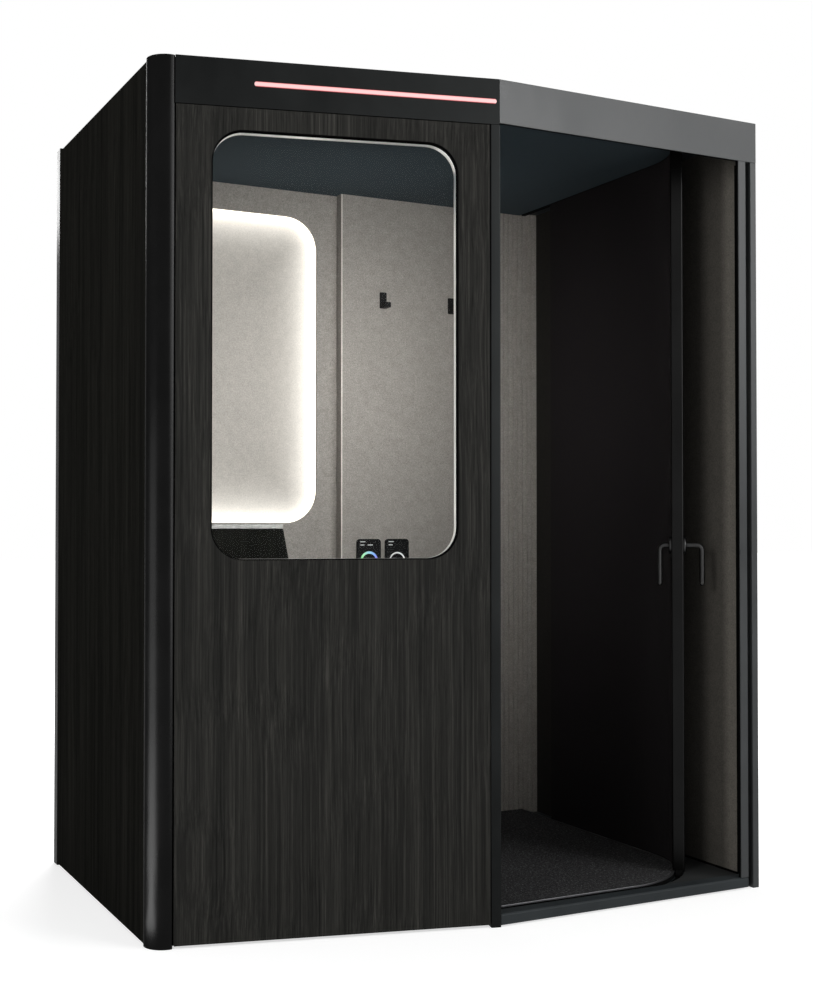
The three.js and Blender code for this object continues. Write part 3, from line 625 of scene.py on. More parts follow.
# Carpet of small dark loops with paler tufts
def carpet_finish():
    finish = Finish("carpet_loops", srgb(30, 30, 31), 0.97, 0.0, 0.02)
    loops = finish.cells(330)
    tufts = finish.noise(160, (1, 1, 1), 4, 0.7)
    tones = (0.3, srgb(28, 28, 29)), (0.55, srgb(66, 66, 67)), (0.75, srgb(140, 140, 143))
    base = finish.ramp(tufts, *tones)
    shade = finish.ramp(loops, (0.1, (1.25, 1.25, 1.25)), (0.7, (0.5, 0.5, 0.5)))
    finish.feed("Base Color", finish.mix("MULTIPLY", 0.9, base, shade))
    finish.set("Sheen Weight", 0.02)
    finish.bump(finish.math("SUBTRACT", tufts, loops), 0.9, 0.003)
    return finish.material


# Felt at the back of the recess, lit from its rim: the glow fades with the distance from the edge
def glow_finish():
    finish = Finish("recess_glow", FELT_COLOUR, FELT_ROUGH, 0.0, FELT_GLOSS)
    finish.feed("Base Color", felt_tone(finish, FELT_COLOUR, FELT_BITE))
    axes = finish.axes(finish.place)
    x0, x1, z0, z1 = (value / 1000 for value in RECESS)
    radius = RECESS_R / 1000
    beyond = []
    for axis, low, high in (("X", x0, x1), ("Z", z0, z1)):
        centred = finish.math("SUBTRACT", axes[axis], (low + high) / 2)
        reach = (high - low) / 2 - radius
        beyond.append(finish.math("SUBTRACT", finish.math("ABSOLUTE", centred), reach))
    outside = [finish.math("MAXIMUM", value, 0.0) for value in beyond]
    squares = [finish.math("MULTIPLY", value, value) for value in outside]
    corner = finish.math("SQRT", finish.math("ADD", squares[0], squares[1]))
    inside = finish.math("MINIMUM", finish.math("MAXIMUM", beyond[0], beyond[1]), 0.0)
    depth = finish.math("SUBTRACT", radius, finish.math("ADD", corner, inside))
    fade = finish.math("POWER", 2.718, finish.math("MULTIPLY", depth, -GLOW_FADE))
    finish.set("Emission Color", (1.0, 0.95, 0.87, 1))
    rim = finish.math("MULTIPLY", fade, GLOW_RIM)
    finish.feed("Emission Strength", finish.math("ADD", rim, GLOW_REST))
    fuzz(finish, 0.4, 0.001)
    return finish.material


# Diffuser of the status light: a pale core and a red rim
def status_finish():
    finish = Finish("status_glow", srgb(120, 26, 29), 0.35, 0.0, 0.3)
    low, high = (value / 1000 for value in STATUS[2:])
    height = finish.axes(finish.place)["Z"]
    offset = finish.math("ABSOLUTE", finish.math("SUBTRACT", height, (low + high) / 2))
    away = finish.math("DIVIDE", offset, (high - low) / 2)
    ripple = finish.math("MULTIPLY", finish.noise(160, (1, 1, 1), 2), 0.08)
    tone = finish.math("ADD", away, ripple)
    stops = (0.45, srgb(255, 211, 210)), (0.72, srgb(250, 192, 192)), (0.96, srgb(112, 34, 38))
    finish.feed("Emission Color", finish.ramp(tone, *stops))
    finish.set("Emission Strength", 1.0)
    return finish.material


# Lit strip behind the rim of the recess
def strip_finish():
    finish = Finish("led_glow", (1.0, 0.93, 0.82), 0.4)
    finish.set("Emission Color", (1.0, 0.94, 0.84, 1))
    finish.feed("Emission Strength", finish.span(finish.noise(300), 0.3, 0.7, 1.3, 1.7))
    return finish.material


# Clear laminated glass with a low-reflection coating
def glass_finish():
    finish = Finish("clear_glass", (0.98, 0.99, 0.985), 0.0, 0.0, 0.5)
    finish.set("Transmission Weight", 1.0)
    finish.set("IOR", 1.1)
    return finish.material


# Smooth black textile of the door leaf, with a fine weave
def leaf_finish():
    colour = srgb(30, 28, 29)
    finish = Finish("black_leaf", colour, 0.7, 0.0, 0.05)
    weave = finish.noise(1500, (1, 1, 0.35), 3, 0.7)
    cloud = finish.noise(5, (1, 1, 0.5), 3)
    base = finish.ramp(weave, (0.35, scaled(colour, 0.7)), (0.65, scaled(colour, 1.35)))
    broad = finish.ramp(cloud, (0.3, (0.9, 0.9, 0.9)), (0.7, (1.1, 1.1, 1.1)))
    finish.feed("Base Color", finish.mix("MULTIPLY", 1.0, base, broad))
    finish.feed("Roughness", finish.span(cloud, 0.3, 0.7, 0.62, 0.78))
    finish.bump(weave, 0.25, 0.0005)
    return finish.material


# Lit ring on a touch panel: a colour wheel, or plain white
def dial_finish(name, stops, strength, x):
    finish = Finish(name, (0.02, 0.02, 0.02), 0.3)
    mapping = finish.node("ShaderNodeMapping")
    mapping.inputs["Location"].default_value = -at(x, PROUD, DIAL_Z)
    finish.link(finish.place, mapping.inputs["Vector"])
    axes = finish.axes(mapping.outputs["Vector"])
    angle = finish.math("ARCTAN2", axes["Z"], axes["X"])
    share = finish.span(angle, -math.pi, math.pi, 0.0, 1.0)
    finish.feed("Emission Color", finish.ramp(share, *stops))
    finish.set("Emission Strength", strength)
    return finish.material


FINISH = {
    "wood": wood("charcoal_veneer", srgb(25, 25, 24), srgb(43, 43, 41), srgb(66, 65, 62), 0.6, 0.03),
    # Painted shade: the front veneer made darker for faces turned from the light, used on the side, right
    # and back panels, the roof and the worktop's end panel
    "side_panel": wood("shaded_side_veneer", srgb(17, 17, 16), srgb(27, 27, 25), srgb(39, 39, 36), 0.7, 0.0),
    "shell": paint("satin_black", srgb(21, 21, 21), 0.26, 0.5, 1.0),
    "post": paint("satin_anthracite", srgb(52, 54, 55), 0.32, 0.17),
    "front_head": paint("satin_charcoal", srgb(26, 27, 27), 0.4, 0.5, 1.0),
    "corner": paint("satin_slate", srgb(25, 26, 26), 0.38, 0.5, 1.0),
    "dark_metal": paint("satin_sill", srgb(44, 48, 50), 0.42, 0.1),
    "grey_metal": paint("smooth_grey", srgb(50, 51, 51), 0.45, 0.06),
    "black_metal": paint("satin_black_metal", srgb(30, 30, 30), 0.24, 0.5, 1.0),
    "lever": paint("satin_lever", srgb(50, 50, 50), 0.38, 0.5, 1.0),
    "stile": paint("near_black", srgb(26, 26, 26), 0.34, 0.5, 1.0),
    "felt": felt("grey_felt", FELT_COLOUR),
    # Painted highlight: a near-white felt for the lit edge of the proud panel
    "highlight_felt": felt("painted_highlight_edge", srgb(226, 221, 215), 0.1),
    # Painted shade and light: the right wall's felt, darker than the grey felt, with painted light up to
    # twice as pale near the doorway
    "shaded_wall_felt": felt("shaded_wall_felt", srgb(77, 74, 69), edge=(2.0, 88, 122)),
    # Painted shade: the wall felt painted nearly black at the rear of the right wall, where it lies in
    # shade
    "deep_shade_felt": felt("deep_shade_felt", srgb(37, 36, 33)),
    "ceiling": felt("teal_felt", srgb(37, 51, 58), 0.12),
    "leaf": leaf_finish(),
    "brush": felt("brush_pile", srgb(12, 12, 12), 0.3),
    "carpet": carpet_finish(),
    "silver_trim": metal("satin_silver", (0.9, 0.91, 0.92), 0.32),
    "edge_strip": metal("satin_edge", (0.14, 0.14, 0.147), 0.4),
    "track": metal("dark_aluminium", (0.2, 0.2, 0.21), 0.38),
    "dark_track": moulded("black_track", srgb(13, 13, 13), 0.6, 0.02),
    "black_plastic": moulded("matt_black", srgb(20, 20, 20), 0.6, 0.1),
    "rubber": moulded("gasket_rubber", srgb(11, 11, 11), 0.75, 0.0),
    "hook": paint("matt_hook", srgb(26, 26, 26), 0.6, 0.1),
    "touch_panel": moulded("black_face", srgb(9, 9, 10), 0.3, 0.03),
    "worktop": moulded("pale_laminate", srgb(176, 175, 172), 0.45, 0.3),
    "status_light": status_finish(),
    "led": strip_finish(),
    "glow": glow_finish(),
    "glass": glass_finish(),
}


# Dress a piece: its finish, the body it moves with, and the CAD nodes it stands for, which are hidden. The
# slot is not used
def dress(piece, finish, slot, *stands_for, body="pod"):
    piece.data.materials.append(FINISH[finish])
    if body:
        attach(piece, body)
    if stands_for:
        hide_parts(*stands_for)


# CAD nodes that keep their own shape
KEPT = {
    "base_tray": "dark_metal",
    "power_box": "black_plastic",
    "ceiling_plate": "dark_metal",
    "fan_frame_1": "black_plastic",
    "fan_frame_2": "black_plastic",
    "fan_rotor_1": "black_plastic",
    "fan_rotor_2": "black_plastic",
    "leaf_carrier": "track",
    "lever_spindle": "track",
    "led_strip": "led",
}
for name, finish in KEPT.items():
    mesh = nodes[name].data
    mesh.materials.clear()
    mesh.materials.append(FINISH[finish])

# Feet: a pad under a short stem
FOOT_PROFILE = [(21, 0), (23.4, 0.8), (24, 2.2), (24, 4.5), (22.5, 6), (14, 6.4), (14, FLOOR_GAP)]
for i, (x, y) in enumerate(FEET):
    foot = turned(f"foot_pad_{i + 1}", FOOT_PROFILE, lambda u, v, w, x=x, y=y: at(x + u, y + v, w))
    dress(foot, "black_plastic", "black_plastic", f"foot_{i + 1}")


# Plan of the room inside the door track, for the carpet and the ceiling
def room():
    left = FELT_X - GAP
    far = BACK_FELT - GAP
    panel = PROUD_LEFT - GAP
    beside_post = MID_FACE + GAP
    behind_post = on_front(beside_post, MID_DEPTH + 3)
    points = [(TRACK_START, TRACK_Y - CARPET_R)]
    points += arc(TRACK_X, TRACK_Y, CARPET_R, -math.pi / 2, 0, 40)
    points += [(TRACK_X + CARPET_R, TRACK_END), (panel, TRACK_END), (panel, far), (-left, far)]
    points += [(-left, COLUMN_Y + GAP), on_front(FRONT_END - GAP, FRONT_WALL + GAP)]
    points += [on_front(beside_post, FRONT_WALL + GAP), behind_post, (TRACK_START, behind_post[1])]
    return points


# Floor: carpet, its edge strip, the track channel and the corner plate
carpet = slab("carpet_pile", [room()], TRAY_TOP, CARPET_TOP, in_plan, 1.5)
dress(carpet, "carpet", "carpet", "carpet")
strip = track_band(CARPET_RIM, CARPET_RIM + EDGE_WIDTH)
edge = slab("carpet_edge_strip", [strip], EDGE_LOW, EDGE_TOP, in_plan, 0.8)
dress(edge, "edge_strip", "silver_trim", "carpet_trim")
strip = track_band(CARPET_RIM, CARPET_RIM + EDGE_WIDTH - GAP)
edge = slab("carpet_edge_base", [strip], TRAY_TOP, EDGE_LOW - SEAM, in_plan, 0.3)
dress(edge, "dark_track", "silver_trim")
channel = slab("track_channel", [track_band(-TRACK_HALF, TRACK_HALF)], TRAY_TOP, TRACK_FLOOR, in_plan, 0.2)
dress(channel, "dark_track", "track", "floor_track")
for side, near in (("inner", -TRACK_HALF), ("outer", TRACK_HALF - TRACK_LIP)):
    lip = track_band(near, near + TRACK_LIP)
    lip = slab(f"track_lip_{side}", [lip], TRACK_FLOOR, TRACK_TOP, in_plan, 0.4)
    dress(lip, "dark_track", "track")
beside_frame = FRAME_X - GAP
beside_felt = RIGHT_FELT - GAP
behind_sill = SILL_DEPTH + GAP
behind_door_post = DOOR_POST_DEPTH + GAP
corner = [(beside_frame, behind_sill), (beside_frame, behind_door_post)]
corner += [(beside_felt, behind_door_post), (beside_felt, TRACK_Y)]
corner += arc(TRACK_X, TRACK_Y, CORNER_R, 0, -CORNER_START, 36)
corner += [(TRACK_X + CORNER_R * math.cos(CORNER_START), behind_sill)]
plate = slab("corner_plate", [corner], TRAY_TOP, CORNER_TOP, in_plan, 1.0)
dress(plate, "grey_metal", "grey_metal", "corner_floor")

# Rounded column: a soft edge beside the veneer, then the wide curve into the side
tangent = COLUMN_R * math.tan((math.pi / 2 - FRONT_ANGLE) / 2)
column = []
for i in range(9):
    turn = COLUMN_EDGE_TURN * (1 - i / 8)
    along = FRONT_END + COLUMN_EDGE_R * (math.sin(COLUMN_EDGE_TURN) - math.sin(turn))
    column.append(on_front(along, COLUMN_EDGE_R * (1 - math.cos(turn))))
turn = -math.pi / 2 - FRONT_ANGLE
column += arc(COLUMN_R - HALF_WIDTH, SETBACK + tangent, COLUMN_R, turn, -math.pi, 36)
column += [(-HALF_WIDTH, COLUMN_Y), (-FELT_X, COLUMN_Y), on_front(FRONT_END, FRONT_WALL)]
post = slab("rounded_column", [soft(column, 1.5)], 0, HEIGHT, in_plan, 2.0)
dress(post, "shell", "shell", "front_column")

# Corner post, door post and rear posts
deep = on_front(MID_FACE, MID_DEPTH)
mid = [on_front(MID_FACE, 0), (0, 0), (MID_RETURN, 0), (MID_RETURN, deep[1]), deep]
post = slab("corner_post", [soft(mid, 2.6)], 0, FRONT_TOP, in_plan, 1.0)
dress(post, "corner", "post", "mid_post")
shape = soft(rect(DOOR_POST_X, HALF_WIDTH, 0, DOOR_POST_DEPTH), 2.0)
post = slab("door_post", [shape], 0, OPENING_TOP, in_plan, 1.0)
dress(post, "post", "post", "right_post")
shape = soft(rect(FRAME_X, DOOR_POST_X - SEAM, SHADOW_DEPTH, DOOR_POST_DEPTH), 1.0)
post = slab("door_post_return", [shape], 0, OPENING_TOP, in_plan, 0.6)
dress(post, "rubber", "post")
for side, x0, x1 in (("left", -HALF_WIDTH, -POST_X), ("right", POST_X, HALF_WIDTH)):
    post = slab(f"rear_post_{side}", [soft(rect(x0, x1, POST_Y, DEPTH), 4.0)], 0, HEIGHT, in_plan, 2.0)
    dress(post, "shell", "shell", f"back_{side}_post")


# Plan of a doorway header board, cut on the mitre at the corner
def mitred(front, back, right):
    return [(front * MITRE, front), (right, front), (right, back), (back * MITRE, back)]


# Headers over the doorway and the front, and the light bar
head = mitred(0, FASCIA, HALF_WIDTH)
header = slab("doorway_header", [soft(head, 1.2)], OPENING_TOP, HEIGHT, in_plan, 1.2)
dress(header, "post", "post", "door_header")
head = mitred(FASCIA + GAP, FASCIA_BACK, beside_frame)
header = slab("doorway_header_back", [head], OPENING_TOP + 0.5, HEIGHT - 0.5, in_plan, 0.4)
dress(header, "rubber", "post")
head = mitred(FASCIA_BACK + GAP, HEADER_DEPTH, beside_frame)
header = slab("doorway_header_carrier", [head], CEILING_FACE, HEIGHT - 0.5, in_plan, 0.6)
dress(header, "front_head", "post")
head = rect(FRAME_X, HALF_WIDTH, FASCIA + GAP, HEADER_DEPTH)
header = slab("doorway_header_end", [head], OPENING_TOP, HEIGHT, in_plan, 0.8)
dress(header, "post", "post")
head_end = FRONT_END - GAP
head = [on_front(GAP, HEADER_FACE), (HEADER_DEPTH * MITRE - 0.28, HEADER_DEPTH)]
head += [on_front(head_end, HEADER_DEPTH), on_front(head_end, HEADER_FACE)]
header = slab("front_header_body", [head], FRONT_TOP, HEIGHT, in_plan, 0.8)
dress(header, "front_head", "post", "front_header")
face = soft(rect(GAP, head_end, FRONT_TOP, HEIGHT), 1.2)
slot = grown(STATUS, STATUS_R, GAP)
header = slab("front_header_face", [face, slot], 0, HEADER_FACE, on_slant, 1.0)
dress(header, "front_head", "post")
light = slab("status_bar", [grown(STATUS, STATUS_R, 0)], 0.4, 5, on_slant, 0.8)
dress(light, "status_light", "status_light", "status_light")

# Outer panels, and the seal between the veneer and the column
outline = soft(rect(VENEER_START, FRONT_END - SEAL, FLOOR_GAP, VENEER_TOP), 1.0)
panel = slab("veneer_front", [outline, grown(WINDOW, WINDOW_R, 0)], 0, SKIN, on_slant, 0.9)
dress(panel, "wood", "wood", "front_panel")
shape = rect(FRONT_END - SEAL + GAP, FRONT_END - 0.4, FLOOR_GAP, VENEER_TOP)
seal = slab("veneer_seal", [shape], 7, SKIN, on_slant, 0.3)
dress(seal, "rubber", "wood")
PANELS = {
    "left": rect(-HALF_WIDTH, -LINING_X, COLUMN_Y, POST_Y),
    "right": rect(LINING_X, HALF_WIDTH, DOOR_POST_DEPTH, POST_Y),
    "back": rect(-POST_X, POST_X, BACK_SKIN, DEPTH),
}
# Side, right and back panels in the darker side veneer, which is painted shade
for side, shape in PANELS.items():
    panel = slab(f"veneer_{side}", [soft(shape, 1.5)], FLOOR_GAP, PANEL_TOP, in_plan, 1.0)
    dress(panel, "side_panel", "side_panel", f"{side}_panel")

# Roof
roof_x = HALF_WIDTH - ROOF_INSET
roof_y = DEPTH - ROOF_INSET
near = HEADER_DEPTH + GAP
post_x = POST_X - GAP
post_y = POST_Y - GAP
column_y = COLUMN_Y + GAP
column_end = FRONT_END - 2 * GAP
lid = [(near * MITRE + GAP, near), (roof_x, near), (roof_x, post_y), (post_x, post_y), (post_x, roof_y)]
lid += [(-post_x, roof_y), (-post_x, post_y), (-roof_x, post_y), (-roof_x, column_y), (-post_x, column_y)]
lid += [on_front(column_end, FRONT_WALL + GAP), on_front(column_end, near)]
bores = [circle(x, y, FAN_BORE) for x, y in FANS]
roof = slab("roof_board", [soft(lid, 2.0)] + bores, PANEL_TOP, ROOF_TOP, in_plan, 1.2)
dress(roof, "side_panel", "side_panel", "roof_panel")


# Guard of rings and two crossed bars over a fan
def guard(name, x, y, low, high):
    outer = FAN_BORE - 0.4
    loops = [[circle(x, y, radius + 2), circle(x, y, radius)] for radius in range(14, int(outer) - 3, 9)]
    loops += [[circle(x, y, outer), circle(x, y, outer - 4)], [circle(x, y, 10)]]
    parts = [slab(name, loop, low, high, in_plan, 0.5, 1) for loop in loops]
    for turn in (45, 135):
        c = math.cos(math.radians(turn))
        s = math.sin(math.radians(turn))
        spoke = rect(-outer + 2, outer - 2, -1.5, 1.5)
        loop = [(x + u * c - v * s, y + u * s + v * c) for u, v in spoke]
        parts.append(slab(name, [loop], low + 0.3, high - 0.3, in_plan, 0.3, 1))
    for part in parts[1:]:
        merge_into(parts[0], part)
    return parts[0]


def merge_into(target, other):
    bm = bmesh.new()
    bm.from_mesh(target.data)
    bm.from_mesh(other.data)
    bm.to_mesh(target.data)
    bm.free()
    bpy.data.meshes.remove(other.data)


for i, (x, y) in enumerate(FANS):
    cover = guard(f"roof_guard_{i + 1}", x, y, PANEL_TOP + 1, ROOF_TOP - 1)
    dress(cover, "black_metal", "black_metal")
    cover = guard(f"ceiling_guard_{i + 1}", x, y, CEILING_FACE + 0.5, CEILING_FACE + 4.5)
    dress(cover, "black_plastic", "black_plastic")

# Felt linings
outline = soft(rect(MID_FACE + GAP, FRONT_END - GAP, FLOOR_GAP, FRONT_TOP - GAP), 2.0)
hole = grown(WINDOW, WINDOW_R, 0)
lining = slab("lining_front", [outline, hole], SKIN + GAP, TRIM_BACK, on_slant, 0.3)
dress(lining, "felt", "felt", "front_lining")
hole = grown(WINDOW, WINDOW_R, REBATE)
lining = slab("lining_front_inner", [outline, hole], TRIM_BACK + 0.1, FRONT_WALL, on_slant, 2.0)
dress(lining, "felt", "felt")
shape = soft(rect(-LINING_X, -FELT_X, COLUMN_Y, POST_Y), 2.0)
lining = slab("lining_left", [shape], FLOOR_GAP, CEILING, in_plan, 1.5)
dress(lining, "felt", "felt", "left_lining")
# Right wall in two boards: the front felt with painted shade and doorway light, the rear felt painted
# nearly black as shade
boards = [("front", DOOR_POST_DEPTH, SHADE_START, "shaded_wall_felt")]
boards += [("rear", SHADE_START + SEAM, POST_Y, "deep_shade_felt")]
for name, near_y, far_y, finish in boards:
    shape = soft(rect(RIGHT_FELT, LINING_X, near_y, far_y), 1.0)
    lining = slab(f"lining_right_{name}", [shape], FLOOR_GAP, CEILING, in_plan, 0.6)
    dress(lining, finish, "felt", "right_lining")
# Painted shade: a thin black strip on the felt's foot stands for the shade inside the gap above the corner
# plate
shape = rect(RIGHT_FELT - 0.8, RIGHT_FELT - 0.1, DOOR_POST_DEPTH + 2 * GAP, TRACK_Y)
groove = slab("lining_right_groove_shade", [shape], CORNER_TOP + SEAM, CORNER_TOP + 7, in_plan, 0.2)
dress(groove, "rubber", "felt")
outline = rect(-POST_X, POST_X, FLOOR_GAP, CEILING)
hole = grown(RECESS, RECESS_R, 0)
lining = slab("lining_back", [outline, hole], BACK_FELT, BACK_FELT + BACK_BOARD, facing, 2.0)
dress(lining, "felt", "felt", "back_lining")
shape = grown(RECESS, RECESS_R, -GAP)
lit = slab("recess_back", [shape], BACK_FELT + RECESS_DEPTH, BACK_SKIN - 1, facing, 0.5)
dress(lit, "glow", "felt", "recess_panel")

# Felt panels that stand proud of the back wall, the right one with upright grooves
shape = soft(rect(PROUD_LEFT, RIB_LEFT, PROUD, BACK_FELT), 4.0)
board = slab("felt_panel_proud", [shape], TRAY_TOP, CEILING, in_plan, 1.5)
dress(board, "felt", "felt", "proud_panel")
# Painted highlight: a pale strip down the proud panel's left edge, where the edge catches the light
shape = rect(PROUD_LEFT + SEAM, PROUD_LEFT + 3.6, PROUD - 0.5, PROUD + 3)
board = slab("felt_panel_highlight", [shape], TRAY_TOP + 1, CEILING_FACE - 0.5, in_plan, 0.3)
dress(board, "highlight_felt", "felt")
ribs = [(RIB_LEFT + GAP, BACK_FELT), (RIB_LEFT + GAP, PROUD)]
groove_floor = PROUD + RIB_DEPTH
for i in range(1, 8):
    x = RIB_LEFT + RIB_PITCH * i
    ribs += [(x - 3, PROUD), (x - 2.2, groove_floor), (x + 2.2, groove_floor), (x + 3, PROUD)]
ribs += [(beside_felt, PROUD), (beside_felt, BACK_FELT)]
board = slab("felt_panel_ribbed", [soft(ribs, 1.6, 3)], TRAY_TOP, CEILING, in_plan, 1.0)
dress(board, "felt", "felt", "ribbed_panel")

# Coat hooks: a plate with a bar at its foot
seat = PROUD - GAP
for i, x in enumerate(HOOK_X):
    shape = round_rect(x - HOOK_HALF, x + HOOK_HALF, HOOK_LOW, HOOK_HIGH, HOOK_R, 5)
    plate = slab(f"hook_plate_{i + 1}", [shape], seat - HOOK_PLATE, seat, facing, 1.2)
    dress(plate, "hook", "black_metal", f"coat_hook_{i + 1}")
    shape = round_rect(x - HOOK_HALF, x + HOOK_HALF, HOOK_LOW, HOOK_LOW + HOOK_FOOT, HOOK_R, 5)
    foot = slab(f"hook_foot_{i + 1}", [shape], seat - HOOK_REACH, seat - HOOK_PLATE + 1, facing, 1.5)
    dress(foot, "hook", "black_metal")

# Touch panels: a black face with a lit dial and small marks
WHEEL = [
    (0.0, (0.08, 0.6, 0.15)),
    (0.25, (0.3, 0.15, 0.55)),
    (0.5, (0.3, 0.12, 0.7)),
    (0.62, (0.1, 0.25, 0.85)),
    (0.75, (0.25, 0.6, 0.75)),
    (0.88, (0.3, 0.75, 0.35)),
    (1.0, (0.08, 0.6, 0.15)),
]
WHITE = [(0.0, (0.5, 0.5, 0.5)), (0.5, (0.8, 0.8, 0.8)), (1.0, (0.5, 0.5, 0.5))]
MARKS = [(-24, 1005, 20), (-26, 994, 16), (4, 994, 20)]
front = seat - TOUCH_THICK
for i, (x, stops) in enumerate(zip(TOUCH_X, (WHEEL, WHITE))):
    shape = round_rect(x - TOUCH_HALF, x + TOUCH_HALF, TOUCH_LOW, TOUCH_HIGH, TOUCH_R, 8)
    face = slab(f"touch_face_{i + 1}", [shape], front, seat, facing, 1.2)
    dress(face, "touch_panel", "touch_panel", f"touch_panel_{i + 1}")
    FINISH["dial"] = dial_finish(f"dial_light_{i + 1}", stops, 0.9, x)
    ring = [circle(x, DIAL_Z, DIAL_R[i]), circle(x, DIAL_Z, DIAL_HOLE)]
    dial = slab(f"touch_dial_{i + 1}", ring, front - 0.25, front + 0.25, facing, 0.1, 1)
    dress(dial, "dial", "touch_panel")
    FINISH["mark"] = dial_finish(f"mark_light_{i + 1}", WHITE, 0.7, x)
    for k, (u, z, width) in enumerate(MARKS[: 3 - i]):
        shape = round_rect(x + u - width / 2, x + u + width / 2, z - 1.5, z + 1.5, 1.4, 3)
        mark = slab(f"touch_mark_{i + 1}_{k + 1}", [shape], front - 0.25, front + 0.25, facing, 0.1, 1)
        dress(mark, "mark", "touch_panel")

# Worktop and its flared support
bend_x = WORKTOP_RIGHT - WORKTOP_R
top = [(-FELT_X, WORKTOP_FRONT), (bend_x, WORKTOP_FRONT)]
top += arc(bend_x, WORKTOP_FRONT + WORKTOP_R, WORKTOP_R, -math.pi / 2, 0, 6)
top += [(WORKTOP_RIGHT, BACK_FELT), (-FELT_X, BACK_FELT)]
board = slab("worktop_board", [top], WORKTOP_LOW, WORKTOP_TOP, in_plan, 1.5)
dress(board, "worktop", "worktop", "worktop")
flare = (WORKTOP_LOW - CARPET_TOP) * math.tan(SUPPORT_FLARE)
support = [(-FELT_X, CARPET_TOP), (WORKTOP_RIGHT + flare, CARPET_TOP)]
support += [(WORKTOP_RIGHT, WORKTOP_LOW), (-FELT_X, WORKTOP_LOW)]
board = slab("worktop_end_panel", [soft(support, 3.0)], WORKTOP_FRONT + 2, WORKTOP_FRONT + 27, facing, 1.5)
dress(board, "side_panel", "side_panel", "worktop_support")

# Window: gasket and bright trim line the reveal, with the glass behind them
ring = [grown(WINDOW, WINDOW_R, -GAP), grown(WINDOW, WINDOW_R, -GAP - WINDOW_LINER)]
gasket = slab("gasket_ring", ring, 0, GASKET_BACK, on_slant, 0.6)
dress(gasket, "rubber", "rubber", "window_gasket")
trim = slab("trim_ring", ring, GASKET_BACK + GAP, TRIM_BACK, on_slant, 0.6)
dress(trim, "silver_trim", "silver_trim", "window_trim")
pane = slab("glass_pane", [grown(WINDOW, WINDOW_R, REBATE - GAP)], GLASS_FACE, GLASS_BACK, on_slant, 0.8)
dress(pane, "glass", "glass", "window_glass")

# Door sill and jamb
sill = [(0, SILL_LOW), (SILL_DEPTH, SILL_LOW), (SILL_DEPTH, SILL_TOP - 3)]
sill += [(SILL_DEPTH - 3, SILL_TOP), (4, SILL_TOP), (0, SILL_TOP - 4)]
piece = slab("sill_bar", [soft(sill, 1.5)], MID_RETURN, FRAME_X, lambda u, v, w: at(w, u, v), 0.8)
dress(piece, "dark_metal", "dark_metal", "door_sill")
shape = soft(rect(JAMB_X, FRAME_X, 0, FASCIA), 0.8)
piece = slab("jamb_bar", [shape], SILL_TOP, OPENING_TOP, in_plan, 0.6)
dress(piece, "post", "post", "door_jamb")
shape = rect(JAMB_X + 0.4, FRAME_X, FASCIA + SEAM, JAMB_DEPTH)
piece = slab("jamb_carrier", [shape], SILL_TOP, OPENING_TOP, in_plan, 0.4)
dress(piece, "rubber", "post")

# Ceiling and its track
board = slab("ceiling_board", [room()] + bores, CEILING_FACE, CEILING, in_plan, 1.0)
dress(board, "ceiling", "ceiling", "ceiling_felt")
rail = slab("ceiling_rail", [track_band(-RAIL_HALF, RAIL_HALF)], CEILING_FACE, CEILING, in_plan, 0.8)
dress(rail, "dark_track", "track", "top_track")

# Door stile with brush seals at its ends
section = soft(rect(-STILE_REACH, STILE_REACH, -STILE_HALF, STILE_HALF), 4.0, 6)
stile = slab("stile_bar", [section], STILE_LOW, OPENING_TOP - 2, at_stile, 0.3)
dress(stile, "stile", "stile", "door_stile", body="door_edge")
shape = rect(-STILE_REACH + 1, STILE_REACH - 1, -14, 9)
brush = slab("stile_brush_bottom", [shape], LEAF_LOW, STILE_LOW - GAP, at_stile, 0.6)
dress(brush, "brush", "brush", "stile_seal_bottom", body="door_edge")
brush = slab("stile_brush_top", [section], OPENING_TOP - 1.9, CEILING_FACE - GAP, at_stile, 0.3)
dress(brush, "stile", "brush", "stile_seal_top", body="door_edge")


# Line of a lever: out from the stile, round a bend and down to the end of the grip
def lever_path(reach):
    end = STILE_HALF + reach
    neck = [(STILE_HALF + 0.4, LEVER_Z), (end - LEVER_BEND - 1, LEVER_Z)]
    turn = arc(end - LEVER_BEND, LEVER_Z - LEVER_BEND, LEVER_BEND, math.pi / 2, 0, 12)
    return neck + turn + [(end, LEVER_Z - 60), (end, LEVER_Z - LEVER_GRIP)]


# Roses and levers on both faces
rose_hole = LEVER_R + GAP
ROSE = [(rose_hole, 0), (ROSE_R, 0), (ROSE_R, 4), (25.4, 5.8), (24, 7.2), (21.5, ROSE_THICK)]
ROSE.append((rose_hole, ROSE_THICK))
for name, sign, reach in (("inside", 1, 35), ("outside", -1, 54)):
    rose = turned(
        f"rose_cap_{name}",
        ROSE,
        lambda u, v, w, k=sign: at_stile(u, k * (STILE_HALF + GAP + w), LEVER_Z + v),
    )
    dress(rose, "lever", "black_metal", f"rose_{name}", body="door_edge")
    path = lever_path(reach)
    lever = bar(f"lever_bar_{name}", path, LEVER_R, lambda x, y, z, k=sign: at_stile(x, k * y, z))
    dress(lever, "lever", "black_metal", f"lever_{name}", body="door_levers")


# Upright strip of the leaf through a row of plan sections
def leaf_strip(name, sections):
    rings = []
    for near, far in sections:
        rings.append([at(*near, LEAF_LOW), at(*far, LEAF_LOW), at(*far, LEAF_HIGH), at(*near, LEAF_HIGH)])
    return tube(name, rings, 40)


def track_point(angle, radius):
    return TRACK_X + radius * math.cos(angle), TRACK_Y - radius * math.sin(angle)


def on_track(angle, inside, outside):
    return track_point(angle, TRACK_R - inside), track_point(angle, TRACK_R + outside)


